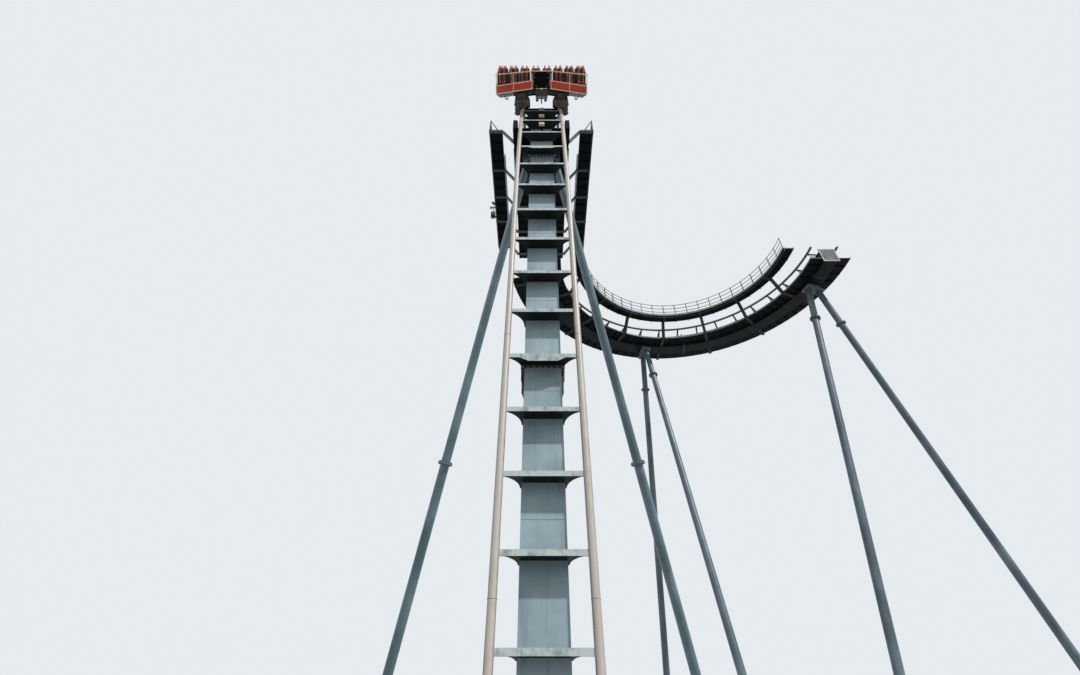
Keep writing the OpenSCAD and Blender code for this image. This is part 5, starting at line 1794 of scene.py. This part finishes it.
@dataclass
class Housings:
    """Rounded copies of the drive, the service mast and the boxes on the turn's frames."""

    edge: float = 0.006

    def build(self) -> None:
        """Rounds the three."""
        rounded("holding_drive", "drive_castings", MACHINE_COAT, Slot.DARK, "structure", self.edge)
        rounded("service_mast", "mast_casing", MAST_COAT, Slot.DARK, "structure", self.edge)
        rounded("turn_frame_heads", "frame_head_boxes", HEAD_COAT, Slot.HEAD, "structure", self.edge)


def backdrop_rays(tree: bpy.types.NodeTree) -> bpy.types.NodeSocket:
    """Is 1 for rays that see the plain backdrop: the camera's, those off glossy faces and through glass."""
    path = tree.nodes.new("ShaderNodeLightPath")
    seen = path.outputs["Is Camera Ray"]
    for kind in ("Is Glossy Ray", "Is Transmission Ray"):
        either = tree.nodes.new("ShaderNodeMath")
        either.operation = "MAXIMUM"
        tree.links.new(seen, either.inputs[0])
        tree.links.new(path.outputs[kind], either.inputs[1])
        seen = either.outputs[0]
    return seen


class Studio:
    """Camera at the photograph's place, pale floor and backdrop, and soft light from the right and above."""

    eye: Vector = Vector((-0.07, -10.41, 1.5))
    pitch: float = 39.9
    lens: float = 17.03
    key: tuple[float, float, float, float] = (48.0, 50.0, 3.0, 2.0)
    fill: tuple[float, float, float, float] = (-50.0, 30.0, 0.3, 40.0)
    low_light: float = 0.26
    high_light: float = 0.6
    floor_r: float = 260.0

    def camera(self) -> None:
        """Places the camera."""
        data = bpy.data.cameras.new("view")
        data.lens = self.lens
        data.sensor_width = 36.0
        data.clip_start = 0.1
        data.clip_end = 400.0
        camera = bpy.data.objects.new("view", data)
        camera.location = self.eye
        camera.rotation_euler = (math.radians(90 + self.pitch), 0.0, 0.0)
        bpy.context.scene.collection.objects.link(camera)
        bpy.context.scene.camera = camera

    def sun(self, name: str, azimuth: float, height: float, strength: float, angle: float) -> None:
        """Adds a distant lamp.

        Args:
            name: Its name.
            azimuth: Where it stands, in degrees to the right of the view from in front.
            height: Its height above the horizon, in degrees.
            strength: Its strength.
            angle: Its apparent size, in degrees.
        """
        data = bpy.data.lights.new(name, "SUN")
        data.energy = strength
        data.angle = math.radians(angle)
        lamp = bpy.data.objects.new(name, data)
        lamp.rotation_euler = (math.radians(90 - height), 0.0, math.radians(azimuth))
        bpy.context.scene.collection.objects.link(lamp)

    def world(self) -> None:
        """Makes the world: soft light from above, and a plain pale backdrop where it is seen."""
        world = bpy.data.worlds.new("studio")
        bpy.context.scene.world = world
        world.use_nodes = True
        nodes, links = world.node_tree.nodes, world.node_tree.links
        nodes.clear()
        way = nodes.new("ShaderNodeTexCoord")
        split = nodes.new("ShaderNodeSeparateXYZ")
        links.new(way.outputs["Generated"], split.inputs[0])
        rise = nodes.new("ShaderNodeMapRange")
        rise.inputs[1].default_value = -0.15
        rise.inputs[2].default_value = 0.7
        rise.inputs[3].default_value = self.low_light
        rise.inputs[4].default_value = self.high_light
        links.new(split.outputs[2], rise.inputs[0])
        soft = nodes.new("ShaderNodeBackground")
        soft.inputs["Color"].default_value = (0.86, 0.94, 1.0, 1.0)
        links.new(rise.outputs[0], soft.inputs["Strength"])
        seen = nodes.new("ShaderNodeBackground")
        seen.inputs["Color"].default_value = tint("e6ebef")
        blend = nodes.new("ShaderNodeMixShader")
        links.new(backdrop_rays(world.node_tree), blend.inputs[0])
        links.new(soft.outputs[0], blend.inputs[1])
        links.new(seen.outputs[0], blend.inputs[2])
        out = nodes.new("ShaderNodeOutputWorld")
        links.new(blend.outputs[0], out.inputs["Surface"])

    def floor(self) -> None:
        """Lays the floor, pale where it is seen and grey where it only throws light back."""
        mesh = bmesh.new()
        bmesh.ops.create_circle(mesh, cap_ends=True, segments=64, radius=self.floor_r)
        data = bpy.data.meshes.new("floor")
        mesh.to_mesh(data)
        mesh.free()
        floor = bpy.data.objects.new("floor", data)
        bpy.context.scene.collection.objects.link(floor)
        material = bpy.data.materials.new("floor")
        material.use_nodes = True
        tree = material.node_tree
        shader = tree.nodes["Principled BSDF"]
        shader.inputs["Roughness"].default_value = 0.9
        pick = tree.nodes.new("ShaderNodeMix")
        pick.data_type = "RGBA"
        pick.inputs[6].default_value = tint("8a8c8c")
        pick.inputs[7].default_value = tint("bcc0c2")
        tree.links.new(backdrop_rays(tree), pick.inputs[0])
        tree.links.new(pick.outputs[2], shader.inputs["Base Color"])
        data.materials.append(material)

    def build(self) -> None:
        """Sets up the view, the light and the floor."""
        bpy.context.scene.view_settings.view_transform = "Standard"
        self.camera()
        self.world()
        self.sun("key", *self.key)
        self.sun("fill", *self.fill)
        self.floor()


def main() -> None:
    """Builds the studio and dresses each sub-assembly in turn."""
    logging.basicConfig(level=logging.INFO, format="%(name)s: %(message)s")
    Studio().build()
    Coats().dress()
    stages = (
        GirderFittings(), RailFittings(), LegDressing(), CrestDressing(), WalkwayDressing(), ServiceRibs(),
        TurnDressing(), DriveDressing(), MastDressing(), CarBodywork(), RunningGear(), Seating(), Housings())
    for stage in stages:
        LOG.info("dressing: %s", type(stage).__name__)
        stage.build()


if __name__ == "__main__":
    main()
